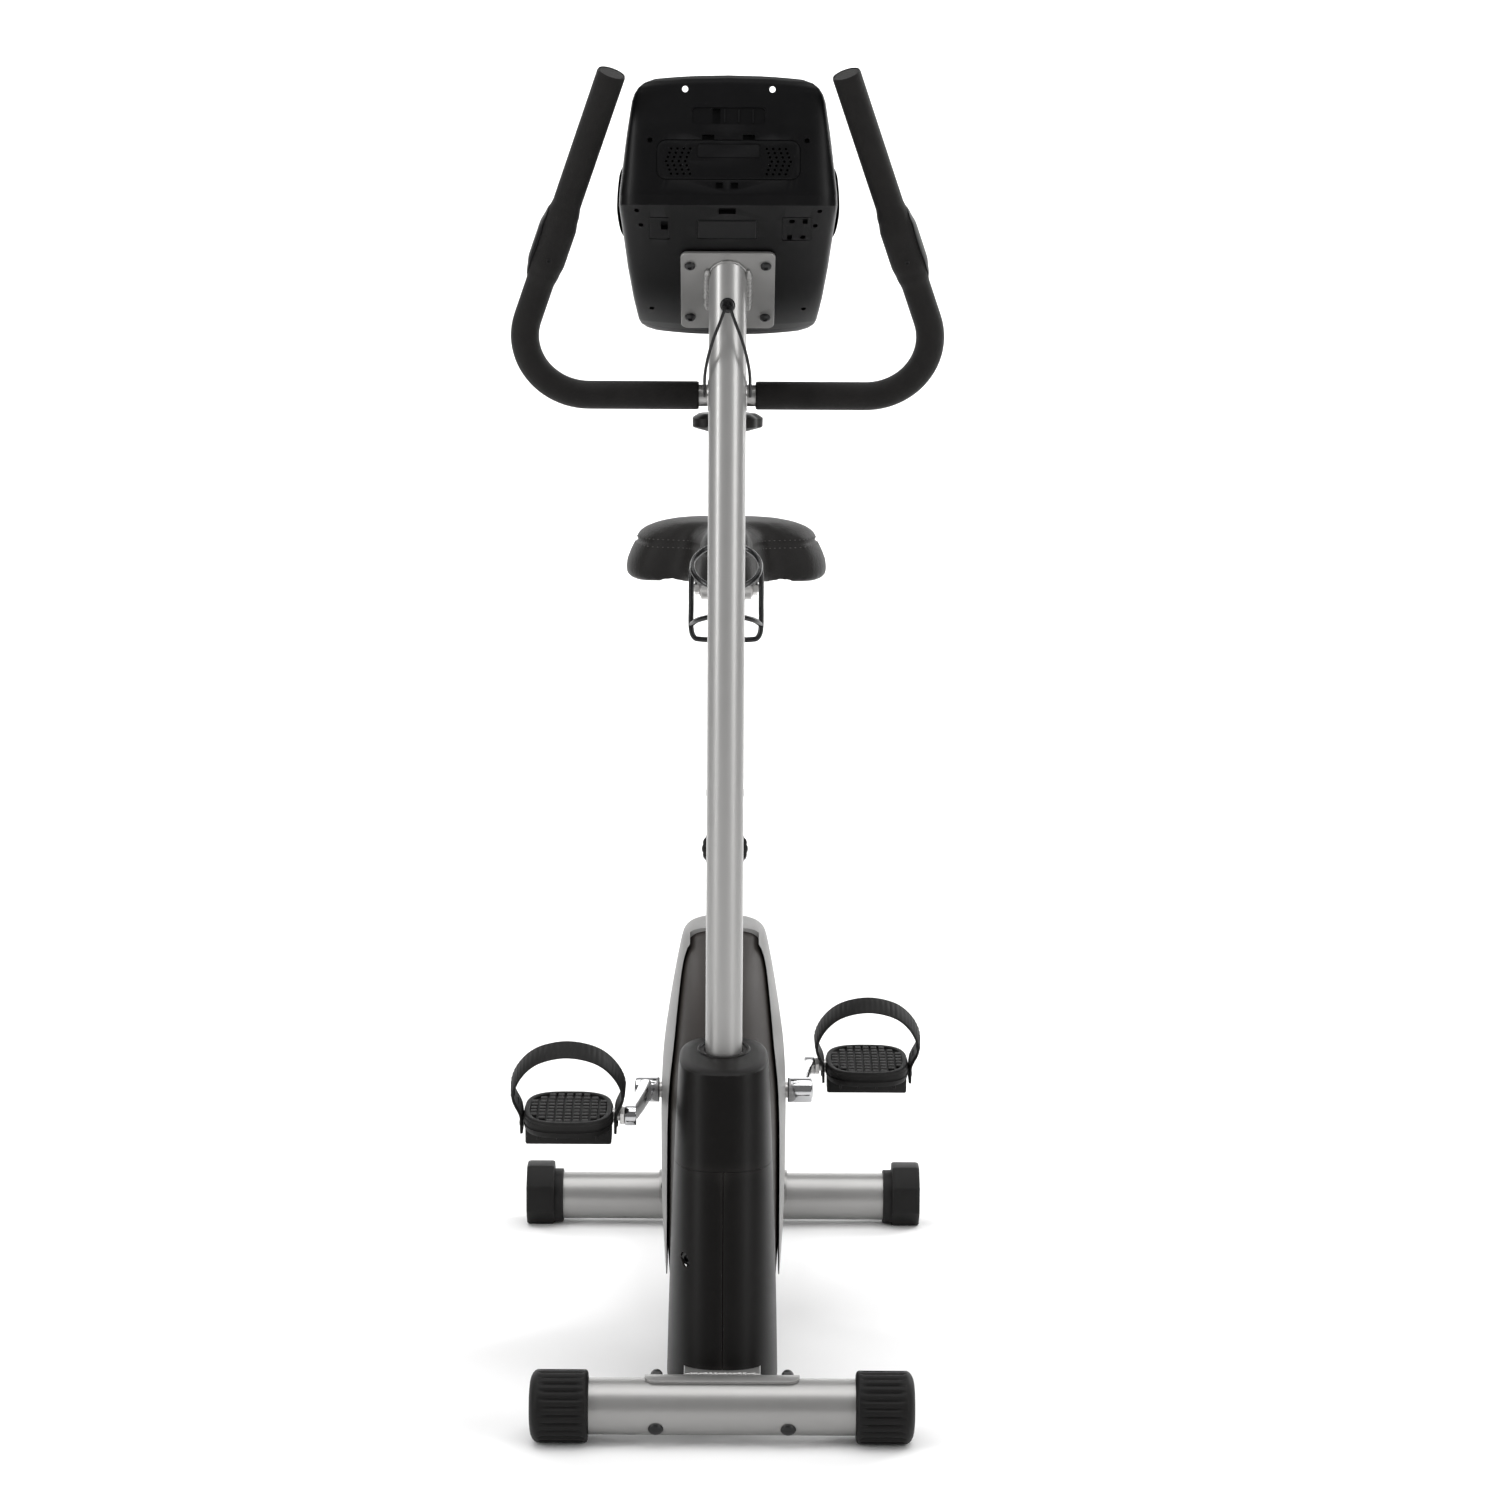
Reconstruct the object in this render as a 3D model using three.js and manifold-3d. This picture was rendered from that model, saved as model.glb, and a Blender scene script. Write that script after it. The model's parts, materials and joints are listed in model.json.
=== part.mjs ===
// Upright exercise bike: frame, drive train, saddle, handlebar and console.
// Millimetres, +Z up. The rider faces -Y, so the rider's left is +X.
// The origin is on the floor, midway between the front and rear stabilisers.

import * as THREE from 'three';
import { mergeVertices } from 'three/addons/utils/BufferGeometryUtils.js';
import Module from 'manifold-3d';

const wasm = await Module();
wasm.setup();

// ---------------------------------------------------------------- driving dimensions

const GAP = 0.3;                      // clearance between neighbouring pieces
const STEEL_WALL = 2;
const PLASTIC_WALL = 3;
const BIG = 1000;                     // longer than anything that it has to cut

const WHEELBASE = 850;                // front stabiliser axis to rear stabiliser axis
const FRONT_Y = -WHEELBASE / 2;
const REAR_Y = WHEELBASE / 2;
const STABILIZER_RADIUS = 28.2;
const ROLLER_RADIUS = 36.25;
const FRONT_HALF_WIDTH = 192.5;
const ROLLER_WIDTH = 58.5;
const REAR_HALF_WIDTH = 237.5;
const LEVELER_WIDTH = 33;
const LEVELER_NECK = 11;
const LEVELER_OFFSET = 3.4;           // how far the foot's centre stands off its tube

const RAIL = { half: 38, bottom: 42, top: 74, overhang: 12 };
const SADDLE_PLATE = { half: 77.5, thickness: 3, from: -12, to: 112 };
const BOLT = { x: 66, angle: 35, shank: 4, head: 7 };

const CRANK = { y: 340, z: 282, length: 170, tilt: 3.8, boss: 13.5, inner: 69, outer: 95 };
const CRANK_EYE = { radius: 10.5, inner: 90, outer: 102 };
const AXLE_RADIUS = 8.5;
const BOTTOM_BRACKET = { radius: 20, bore: 17, half: 34 };
const PULLEY = { radius: 85, x: 40, half: 5 };
const FLYWHEEL = { y: 284, z: 172, radius: 82, low: -38, high: -18, axle: 6 };
const DRIVE_RATIO = 7;
const BELT = { thickness: 2, half: 4 };

const PEDAL = { x: 160, half: 46.5, depth: 48, top: 9, bottom: -8, weight: -27 };
const STRAP = { width: 27, thickness: 3, bulge: 57, height: 88, lean: 28 };

const SEAT_LEAN = 20;                 // degrees behind vertical
const SEAT_TUBE = { radius: 19.05, bore: 17.5, top: 322 };
const SEAT_POST = { radius: 15.9, bore: 13.9, low: 120, high: 557.6 };
const SEAT_PIN = { along: 257, pitch: 25, knob: 25 };
const SADDLE = { tail: 128, nose: 142, halfTail: 115, halfNose: 32, bottom: 4, top: 76 };

const MAST = { y: 167, radius: 19, bottom: 100 };
const MAST_SOCKET = { radius: 22.5, top: 330 };
const PLATE = { y: 187, z: 1142.5, width: 94.5, height: 120, thickness: 3, lean: 50 };

const BAR = { y: 215, z: 1034, radius: 11.1, lean: 21.2, corner: 64 };
const BAR_END = { x: 114.5, up: 343 };
const BAR_CORNER_X = 229.9;           // where the bar's two straight runs would meet
const GRIP = { radius: 14.4, bore: 13.2 };
const CLAMP_KNOB = { y: 236, z: 1006, radius: 37, half: 9 };

// Places along the bike are given by their distance behind the front stabiliser axis.
const behind = (distance) => FRONT_Y + distance;
const radians = THREE.MathUtils.degToRad;
const SIDES = [
  { name: 'right', sign: -1 },
  { name: 'left', sign: 1 },
];

// ---------------------------------------------------------------- finishes

function finish(colour, roughness, metalness) {
  return new THREE.MeshStandardMaterial({ color: colour, roughness, metalness });
}

const silverPaint = () => finish(0xb4b2ae, 0.35, 0.6);
const darkPlastic = () => finish(0x222021, 0.55, 0);
const glossBlack = () => finish(0x121213, 0.25, 0);
const foam = () => finish(0x1d1b1b, 0.95, 0);
const chrome = () => finish(0xd6d6d4, 0.12, 1);
const zinc = () => finish(0xa9aba8, 0.4, 0.9);
const castIron = () => finish(0x4b4c4e, 0.6, 0.8);
const rubber = () => finish(0x191919, 0.85, 0);
const vinyl = () => finish(0x2b2827, 0.7, 0);

// ---------------------------------------------------------------- solids

const vector = (point) => new THREE.Vector3(...point);

function solidOf(geometry) {
  const bare = new THREE.BufferGeometry();
  bare.setAttribute('position', geometry.getAttribute('position'));
  bare.setIndex(geometry.getIndex());
  const merged = mergeVertices(bare, 1e-3);
  const index = merged.getIndex().array;
  const triangles = [];
  for (let i = 0; i < index.length; i += 3) {
    const [a, b, c] = index.slice(i, i + 3);
    if (a !== b && b !== c && c !== a) {
      triangles.push(a, b, c);
    }
  }
  return new wasm.Manifold(new wasm.Mesh({
    numProp: 3,
    vertProperties: Float32Array.from(merged.getAttribute('position').array),
    triVerts: Uint32Array.from(triangles),
  }));
}

const join = (first, ...others) => others.reduce((sum, other) => sum.add(other), first);
const cut = (first, ...others) => others.reduce((rest, other) => rest.subtract(other), first);

// The same solid after a matrix has moved, turned or mirrored it.
function moved(solid, matrix) {
  const { vertProperties, triVerts } = solid.getMesh();
  const geometry = new THREE.BufferGeometry();
  geometry.setAttribute('position', new THREE.BufferAttribute(vertProperties.slice(), 3));
  const flip = matrix.determinant() < 0;
  geometry.setIndex(Array.from(flip ? triVerts.slice().reverse() : triVerts));
  return solidOf(geometry.applyMatrix4(matrix));
}

const mirrored = (solid) => moved(solid, new THREE.Matrix4().makeScale(-1, 1, 1));

function piece(parent, name, solid, material) {
  const { vertProperties, triVerts } = solid.getMesh();
  const geometry = new THREE.BufferGeometry();
  geometry.setAttribute('position', new THREE.BufferAttribute(vertProperties, 3));
  geometry.setIndex(new THREE.BufferAttribute(triVerts, 1));
  geometry.computeVertexNormals();
  const mesh = new THREE.Mesh(geometry, material);
  mesh.name = name;
  parent.add(mesh);
  return mesh;
}

function box(low, high) {
  const size = high.map((value, i) => value - low[i]);
  const centre = high.map((value, i) => (value + low[i]) / 2);
  return solidOf(new THREE.BoxGeometry(...size).translate(...centre));
}

function rod(from, to, radius, sides = 16) {
  const start = vector(from);
  const run = vector(to).sub(start);
  const turn = new THREE.Quaternion()
    .setFromUnitVectors(new THREE.Vector3(0, 1, 0), run.clone().normalize());
  const geometry = new THREE.CylinderGeometry(radius, radius, run.length(), sides)
    .applyQuaternion(turn)
    .translate(...start.addScaledVector(run, 0.5).toArray());
  return solidOf(geometry);
}

// A cylinder along X, at one place in Y and Z.
const crossRod = (x0, x1, radius, y = 0, z = 0, sides = 16) =>
  rod([x0, y, z], [x1, y, z], radius, sides);

// A turned body about X: its profile is a list of [x, radius], outer side first with x rising.
function turnedAboutX(profile, y = 0, z = 0, sides = 28) {
  const points = profile.map(([x, radius]) => new THREE.Vector2(radius, x));
  const geometry = new THREE.LatheGeometry(points, sides)
    .rotateZ(-Math.PI / 2)
    .translate(0, y, z);
  return solidOf(geometry);
}

// A turned body about Z: its profile is a list of [z, radius].
function turnedAboutZ(profile, sides = 28) {
  const points = profile.map(([z, radius]) => new THREE.Vector2(radius, z));
  return solidOf(new THREE.LatheGeometry(points, sides).rotateX(Math.PI / 2));
}

// A shape drawn in the side view, with Y across and Z up, given a thickness along X.
function sidePlate(shape, x0, x1, curveSegments = 12) {
  const basis = new THREE.Matrix4().makeBasis(
    new THREE.Vector3(0, 1, 0), new THREE.Vector3(0, 0, 1), new THREE.Vector3(1, 0, 0));
  const options = { depth: x1 - x0, bevelEnabled: false, curveSegments };
  return solidOf(new THREE.ExtrudeGeometry(shape, options)
    .applyMatrix4(basis)
    .translate(x0, 0, 0));
}

// A shape drawn from above, in X and Y, given a height from z0 to z1.
function floorPlate(shape, z0, z1, curveSegments = 12) {
  const options = { depth: z1 - z0, bevelEnabled: false, curveSegments };
  return solidOf(new THREE.ExtrudeGeometry(shape, options).translate(0, 0, z0));
}

// A closed skin over a stack of rings, each anticlockwise from above and higher than the last.
function loft(rings) {
  const count = rings[0].length;
  const middle = (ring) => ring
    .reduce((sum, point) => sum.add(point), new THREE.Vector3())
    .divideScalar(count);
  const points = [...rings.flat(), middle(rings[0]), middle(rings[rings.length - 1])];
  const index = [];
  for (let j = 0; j < count; j += 1) {
    const next = (j + 1) % count;
    for (let i = 0; i + 1 < rings.length; i += 1) {
      const [a, b] = [i * count + j, i * count + next];
      index.push(a, b, b + count, a, b + count, a + count);
    }
    const top = (rings.length - 1) * count;
    index.push(points.length - 2, next, j, points.length - 1, top + j, top + next);
  }
  const geometry = new THREE.BufferGeometry().setFromPoints(points);
  geometry.setIndex(index);
  return solidOf(geometry);
}

// One level ring: a rounded oval from front to rear, half as wide on each side.
function ovalRing({ z, front, rear, half, power = 2.5, tilt = 0 }, count = 24) {
  const centre = (front + rear) / 2;
  const reach = (rear - front) / 2;
  const eased = (value) => Math.sign(value) * Math.abs(value) ** (2 / power);
  return Array.from({ length: count }, (unused, i) => {
    const angle = 2 * Math.PI * i / count;
    const along = centre + reach * eased(Math.sin(angle));
    const x = half * eased(Math.cos(angle));
    return new THREE.Vector3(x, behind(along), z + tilt * (along - front));
  });
}

const circle = (radius) => new THREE.Shape().absarc(0, 0, radius, 0, 2 * Math.PI);

function along(curve, shape, steps, curveSegments = 8) {
  const options = { steps, extrudePath: curve, bevelEnabled: false, curveSegments };
  return solidOf(new THREE.ExtrudeGeometry(shape, options));
}

// ---------------------------------------------------------------- base and stabilisers

function saddlePlate(tubeY, tubeZ, facing) {
  const inner = STABILIZER_RADIUS + GAP;
  const outer = inner + SADDLE_PLATE.thickness;
  const [from, to] = [radians(SADDLE_PLATE.from), radians(SADDLE_PLATE.to)];
  const shape = new THREE.Shape();
  shape.absarc(0, 0, outer, from, to, false);
  shape.absarc(0, 0, inner, to, from, true);
  const plate = sidePlate(shape, -SADDLE_PLATE.half, SADDLE_PLATE.half, 6);
  const place = new THREE.Matrix4().makeScale(1, facing, 1).setPosition(0, tubeY, tubeZ);
  return moved(plate, place);
}

// The direction of a stabiliser bolt, from its domed head up to its nut.
function boltDirection(facing) {
  const angle = radians(BOLT.angle);
  return new THREE.Vector3(0, facing * Math.cos(angle), Math.sin(angle));
}

function boltRod(x, tubeY, tubeZ, facing, from, to, radius, sides) {
  const centre = new THREE.Vector3(x, tubeY, tubeZ);
  const direction = boltDirection(facing);
  const at = (distance) => centre.clone().addScaledVector(direction, distance).toArray();
  return rod(at(from), at(to), radius, sides);
}

const boltHole = (x, tubeY, tubeZ, facing) =>
  boltRod(x, tubeY, tubeZ, facing, -40, 40, BOLT.shank + GAP, 8);

const boltXs = SIDES.map(({ sign }) => sign * BOLT.x);
const rearTubeZ = ROLLER_RADIUS - LEVELER_OFFSET;

function baseRail() {
  const { half, bottom, top, overhang } = RAIL;
  const ends = [FRONT_Y - overhang, REAR_Y + overhang];
  const bar = box([-half, ends[0], bottom], [half, ends[1], top]);
  const channel = box(
    [STEEL_WALL - half, FRONT_Y + 20, bottom - 1],
    [half - STEEL_WALL, REAR_Y - 20, top - STEEL_WALL]);
  const midPlate = STABILIZER_RADIUS + GAP + SADDLE_PLATE.thickness / 2;
  const seats = [[FRONT_Y, ROLLER_RADIUS], [REAR_Y, rearTubeZ]];
  const notches = seats.map(([y, z]) => crossRod(-BIG, BIG, midPlate, y, z, 28));
  const plates = [
    saddlePlate(FRONT_Y, ROLLER_RADIUS, 1),
    saddlePlate(REAR_Y, rearTubeZ, -1),
  ];
  const holes = boltXs.flatMap((x) => [
    boltHole(x, FRONT_Y, ROLLER_RADIUS, 1),
    boltHole(x, REAR_Y, rearTubeZ, -1),
  ]);
  const cleared = seats.map(([y, z]) => crossRod(-BIG, BIG, STABILIZER_RADIUS + GAP, y, z, 28));
  const rail = join(cut(bar, channel, ...notches), ...plates, flywheelFork());
  return cut(rail, ...cleared, ...holes);
}

// Two upright plates that carry the flywheel's axle, on a foot welded across the rail.
function flywheelFork() {
  const [y0, y1] = [behind(FLYWHEEL.y - 22), behind(FLYWHEEL.y + 22)];
  const top = FLYWHEEL.z + 18;
  const plates = [
    box([-47, y0, RAIL.top], [-43, y1, top]),
    box([46.8, y0, RAIL.top], [50, y1, top]),
  ];
  const foot = box([-47, y0, RAIL.top - 1], [50, y1, RAIL.top + 3]);
  const hole = crossRod(-60, 60, FLYWHEEL.axle + GAP, behind(FLYWHEEL.y), FLYWHEEL.z);
  return cut(join(foot, ...plates), hole);
}

function stabilizerTube(half, y, z, facing) {
  const outer = crossRod(-half, half, STABILIZER_RADIUS, y, z, 28);
  const inner = crossRod(-BIG, BIG, STABILIZER_RADIUS - STEEL_WALL, y, z, 20);
  return cut(outer, inner, ...boltXs.map((x) => boltHole(x, y, z, facing)));
}

// A carriage bolt with its domed head below and its acorn nut above the saddle plate.
function stabilizerBolt(x, tubeY, tubeZ, facing) {
  const part = (from, to, radius, sides) =>
    boltRod(x, tubeY, tubeZ, facing, from, to, radius, sides);
  const plateTop = STABILIZER_RADIUS + SADDLE_PLATE.thickness + 3 * GAP;
  const headSeat = -STABILIZER_RADIUS - GAP;
  return join(
    part(headSeat - 4, plateTop + 10, BOLT.shank, 6),
    part(headSeat - 3, headSeat - 0.4, BOLT.head, 10),
    part(plateTop + 0.6, plateTop + 7, BOLT.head, 6));
}

const tubeEnd = FRONT_HALF_WIDTH - ROLLER_WIDTH - GAP;

// A plug welded into the tube's end, with the stub axle that its roller turns on.
function frontAxle(sign) {
  const plug = [sign * (tubeEnd - 12), sign * tubeEnd].sort((a, b) => a - b);
  const stub = [sign * (tubeEnd - 20), sign * (FRONT_HALF_WIDTH - 6)].sort((a, b) => a - b);
  const seat = STABILIZER_RADIUS - STEEL_WALL / 2;
  return join(
    crossRod(...plug, seat, FRONT_Y, ROLLER_RADIUS, 16),
    crossRod(...stub, 6, FRONT_Y, ROLLER_RADIUS, 10));
}

function frontRoller(sign) {
  const inner = FRONT_HALF_WIDTH - ROLLER_WIDTH;
  const outer = FRONT_HALF_WIDTH;
  const radius = ROLLER_RADIUS;
  const profile = [
    [inner, 6 + 2 * GAP], [inner, radius - 3], [inner + 2.5, radius], [outer - 8, radius],
    [outer - 2.5, radius - 4], [outer, radius - 11], [outer, 0],
    [outer - 5, 0], [outer - 5, 6 + 2 * GAP],
  ];
  const roller = turnedAboutX([...profile, profile[0]], FRONT_Y, ROLLER_RADIUS, 20);
  return sign > 0 ? roller : mirrored(roller);
}

// An eight-sided foot, off centre on its tube, so that each side gives another height.
function rearLeveler(sign) {
  const corner = ROLLER_RADIUS / Math.cos(Math.PI / 8);
  const shape = new THREE.Shape(Array.from({ length: 8 }, (unused, i) => {
    const angle = Math.PI / 8 + i * Math.PI / 4;
    return new THREE.Vector2(corner * Math.cos(angle), corner * Math.sin(angle));
  }));
  const octagonStart = REAR_HALF_WIDTH - LEVELER_WIDTH;
  const place = new THREE.Matrix4().makeTranslation(0, REAR_Y, ROLLER_RADIUS);
  const foot = moved(sidePlate(shape, octagonStart, REAR_HALF_WIDTH), place);
  const neckStart = octagonStart - LEVELER_NECK;
  const neck = crossRod(
    neckStart, octagonStart + 1, STABILIZER_RADIUS + 4, REAR_Y, rearTubeZ, 28);
  const bore = crossRod(
    neckStart - 1, REAR_HALF_WIDTH - 5, STABILIZER_RADIUS + GAP, REAR_Y, rearTubeZ, 28);
  const leveler = cut(join(foot, neck), bore);
  return sign > 0 ? leveler : mirrored(leveler);
}

function addBase(bike) {
  piece(bike, 'base_rail', baseRail(), silverPaint());
  const frontTube = join(
    stabilizerTube(tubeEnd, FRONT_Y, ROLLER_RADIUS, 1),
    ...SIDES.map(({ sign }) => frontAxle(sign)));
  piece(bike, 'front_stabilizer', frontTube, silverPaint());
  const rearTube = stabilizerTube(REAR_HALF_WIDTH - 7, REAR_Y, rearTubeZ, -1);
  piece(bike, 'rear_stabilizer', rearTube, silverPaint());
  SIDES.forEach(({ name, sign }) => {
    const x = sign * BOLT.x;
    const frontBolt = stabilizerBolt(x, FRONT_Y, ROLLER_RADIUS, 1);
    const rearBolt = stabilizerBolt(x, REAR_Y, rearTubeZ, -1);
    piece(bike, `front_bolt_${name}`, frontBolt, glossBlack());
    piece(bike, `rear_bolt_${name}`, rearBolt, glossBlack());
    piece(bike, `front_roller_${name}`, frontRoller(sign), rubber());
    piece(bike, `rear_leveler_${name}`, rearLeveler(sign), rubber());
  });
}

// ---------------------------------------------------------------- inner frame and seat tube

const crankY = behind(CRANK.y);
const seatDirection = new THREE.Vector3(
  0, Math.sin(radians(SEAT_LEAN)), Math.cos(radians(SEAT_LEAN)));
const seatPoint = (distance) => new THREE.Vector3(0, crankY, CRANK.z)
  .addScaledVector(seatDirection, distance)
  .toArray();
const seatRod = (from, to, radius, sides) =>
  rod(seatPoint(from), seatPoint(to), radius, sides);

// A rod square to the seat tube, pointing forwards from the tube's axis.
function seatPinRod(station, from, to, radius, sides = 10) {
  const outward = new THREE.Vector3(0, -seatDirection.z, seatDirection.y);
  const at = (distance) => vector(seatPoint(station))
    .addScaledVector(outward, distance)
    .toArray();
  return rod(at(from), at(to), radius, sides);
}

function seatTube() {
  const { radius, bore, half } = BOTTOM_BRACKET;
  const shell = crossRod(-half, half, radius, crankY, CRANK.z, 24);
  const strut = rod([0, crankY, CRANK.z], [0, behind(430), RAIL.top - 10], 12, 16);
  const railGap = box([-BIG, FRONT_Y, 0], [BIG, REAR_Y, RAIL.top + GAP]);
  const barrel = seatPinRod(SEAT_PIN.along, SEAT_TUBE.radius - 3, SEAT_TUBE.radius + 9, 8);
  const tube = seatRod(10, SEAT_TUBE.top, SEAT_TUBE.radius, 24);
  return cut(
    join(shell, strut, tube, barrel),
    railGap,
    crossRod(-BIG, BIG, bore, crankY, CRANK.z, 24),
    seatRod(24, SEAT_TUBE.top + 1, SEAT_TUBE.bore, 24),
    seatPinRod(SEAT_PIN.along, 10, 60, 4 + GAP));
}

function mastSocket() {
  const mastY = behind(MAST.y);
  const low = RAIL.top + GAP;
  const foot = box([-34, mastY - 30, low], [34, mastY + 30, low + 6]);
  const sleeve = rod([0, mastY, low], [0, mastY, MAST_SOCKET.top], MAST_SOCKET.radius, 28);
  const brace = rod([0, mastY + 10, 308], [0, crankY, 288], 12, 16);
  const lug = box([-13, behind(290), 262], [-9, behind(308), 296]);
  return cut(
    join(foot, sleeve, brace, lug),
    rod([0, mastY, low + 12], [0, mastY, BIG], MAST.radius + GAP, 28),
    crossRod(-BIG, BIG, BOTTOM_BRACKET.radius + 2 * GAP, crankY, CRANK.z, 24),
    seatRod(0, 100, SEAT_TUBE.radius + 2 * GAP, 24),
    crossRod(-BIG, BIG, 4 + GAP, behind(300), 268, 12));
}

function addInnerFrame(bike) {
  piece(bike, 'seat_tube', seatTube(), silverPaint());
  piece(bike, 'mast_socket', mastSocket(), silverPaint());
}

// ---------------------------------------------------------------- shroud and covers

// Level sections of the housing round the crank: height, front, rear and half width.
const HOUSING_SECTIONS = [
  [62, 152, 470, 54.5], [110, 140, 512, 58.5], [170, 142, 542, 62], [230, 148, 556, 63],
  [280, 162, 560, 63.3], [325, 188, 553, 61.2], [366, 222, 535, 55.8], [400, 260, 512, 50.2],
  [425, 298, 488, 45.5], [440, 330, 468, 41], [447, 345, 455, 36], [450, 358, 446, 30],
];

// The nose in front of it, which runs up into the mast cover: the same four figures.
const NOSE_SECTIONS = [
  [62, 40, 240, 56], [110, 49, 238, 55.2], [180, 63, 234, 53.4], [256, 80, 226, 50.6],
  [310, 90.5, 216, 48], [345, 97, 209, 46], [351, 99, 207, 44.5], [354, 103, 203, 41],
];

const COVER_SEAM = 256;
const COVER_TILT = 0.15;              // the cover's rim rises towards the rider

function housing(offset, floorDrop = 0) {
  const last = HOUSING_SECTIONS.length - 1;
  const rings = HOUSING_SECTIONS.map(([z, front, rear, half], i) => {
    const lift = i > last - 3 ? offset : 0;
    return ovalRing({
      z: i === 0 ? z - floorDrop : z + lift,
      front: front - offset,
      rear: rear + offset,
      half: half + offset,
      power: 2.4,
    });
  });
  return loft(rings);
}

function nose(offset, floorDrop = 0) {
  const last = NOSE_SECTIONS.length - 1;
  const rings = NOSE_SECTIONS.map(([z, front, rear, half], i) => {
    const lift = i > last - 3 ? offset : 0;
    return ovalRing({
      z: i === 0 ? z - floorDrop : z + lift,
      front: front - offset,
      rear: rear + offset,
      half: half + offset,
      power: 2.3,
      tilt: i > 3 ? COVER_TILT : 0,
    });
  });
  return loft(rings);
}

const aboveSeam = () => box([-BIG, -BIG, COVER_SEAM], [BIG, BIG, BIG]);

// Everything that passes through the shroud: crank, seat tube, rail and power socket.
function shroudOpenings() {
  return [
    crossRod(-BIG, BIG, 17, crankY, CRANK.z, 20),
    seatRod(100, SEAT_TUBE.top, SEAT_TUBE.radius + 1, 24),
    box([-RAIL.half - 0.8, -BIG, 0], [RAIL.half + 0.8, BIG, RAIL.top + 0.8]),
    inletRod(-4, 40, 6 + GAP),
  ];
}

function inletRod(from, to, radius) {
  const centre = new THREE.Vector3(-38, behind(82), 166);
  const inward = new THREE.Vector3(0.5, 1, 0).normalize();
  const at = (distance) => centre.clone().addScaledVector(inward, distance).toArray();
  return rod(at(from), at(to), radius, 16);
}

function shroudHalf(sign) {
  const outside = join(housing(0), cut(nose(0), aboveSeam()));
  const inside = join(housing(-PLASTIC_WALL, 20), nose(-PLASTIC_WALL, 20));
  const shell = cut(outside, inside, ...shroudOpenings());
  const otherSide = sign > 0
    ? box([-BIG, -BIG, -BIG], [GAP / 2, BIG, BIG])
    : box([-GAP / 2, -BIG, -BIG], [BIG, BIG, BIG]);
  return cut(shell, otherSide);
}

function mastCover() {
  const skin = cut(nose(0), nose(-PLASTIC_WALL, 20), housing(0.5));
  const below = box([-BIG, -BIG, -BIG], [BIG, BIG, COVER_SEAM + GAP]);
  const mastY = behind(MAST.y);
  const opening = rod([0, mastY, 300], [0, mastY, BIG], MAST_SOCKET.radius + 2.5, 32);
  return cut(skin, below, opening);
}

// The silver covers over both cheeks of the housing, seen from the side.
function sideOutline() {
  const points = [
    [215, 470], [205, 330], [196, 250], [215, 160], [270, 100], [350, 84],
    [440, 100], [520, 170], [572, 260], [572, 360], [520, 470],
  ];
  const curve = new THREE.SplineCurve(
    points.map(([y, z]) => new THREE.Vector2(behind(y), z)));
  return new THREE.Shape(curve.getPoints(40));
}

// Between the side covers the dark shroud shows as a tapered band, rounded at the top.
function faceWindow() {
  const shape = new THREE.Shape();
  shape.moveTo(-60, 40);
  shape.lineTo(-59, 280);
  shape.lineTo(-43, 412);
  shape.quadraticCurveTo(-40, 440, -24, 441);
  shape.lineTo(24, 441);
  shape.quadraticCurveTo(40, 440, 43, 412);
  shape.lineTo(59, 280);
  shape.lineTo(60, 40);
  const options = { depth: 2 * BIG, bevelEnabled: false, curveSegments: 8 };
  return solidOf(new THREE.ExtrudeGeometry(shape, options)
    .rotateX(Math.PI / 2)
    .translate(0, BIG, 0));
}

function sidePanel(sign) {
  const skin = cut(housing(3.8), housing(0.5, 20));
  const outline = sidePlate(sideOutline(), -BIG, BIG);
  const otherSide = sign > 0
    ? box([-BIG, -BIG, -BIG], [GAP / 2, BIG, BIG])
    : box([-GAP / 2, -BIG, -BIG], [BIG, BIG, BIG]);
  return cut(skin.intersect(outline), faceWindow(), otherSide, ...shroudOpenings());
}

function powerInlet() {
  return cut(inletRod(2, 16, 6), inletRod(-1, 10, 3.2));
}

function addShroud(bike) {
  SIDES.forEach(({ name, sign }) => {
    piece(bike, `shroud_${name}`, shroudHalf(sign), darkPlastic());
    piece(bike, `side_panel_${name}`, sidePanel(sign), silverPaint());
  });
  piece(bike, 'mast_cover', mastCover(), darkPlastic());
  piece(bike, 'power_inlet', powerInlet(), glossBlack());
}

// ---------------------------------------------------------------- drive train

function crankBearing(sign) {
  const { bore, half } = BOTTOM_BRACKET;
  const ends = [sign * (half - 12), sign * half].sort((a, b) => a - b);
  const outer = crossRod(...ends, bore - GAP, crankY, CRANK.z, 24);
  return cut(outer, crossRod(-BIG, BIG, AXLE_RADIUS + GAP, crankY, CRANK.z, 20));
}

function crankPulley() {
  const { radius, x, half } = PULLEY;
  const bore = AXLE_RADIUS + GAP;
  const hubEnd = x + half + 6;
  const profile = [
    [x - half, bore], [x - half, 18], [x - 1.5, 20], [x - 1.5, radius - 7],
    [x - half, radius - 6], [x - half, radius], [x + half, radius],
    [x + half, radius - 6], [x + 1.5, radius - 7], [x + 1.5, 20], [hubEnd, 18], [hubEnd, bore],
  ];
  return turnedAboutX([...profile, profile[0]], crankY, CRANK.z, 24);
}

const smallPulleyRadius = PULLEY.radius / DRIVE_RATIO;

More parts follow.
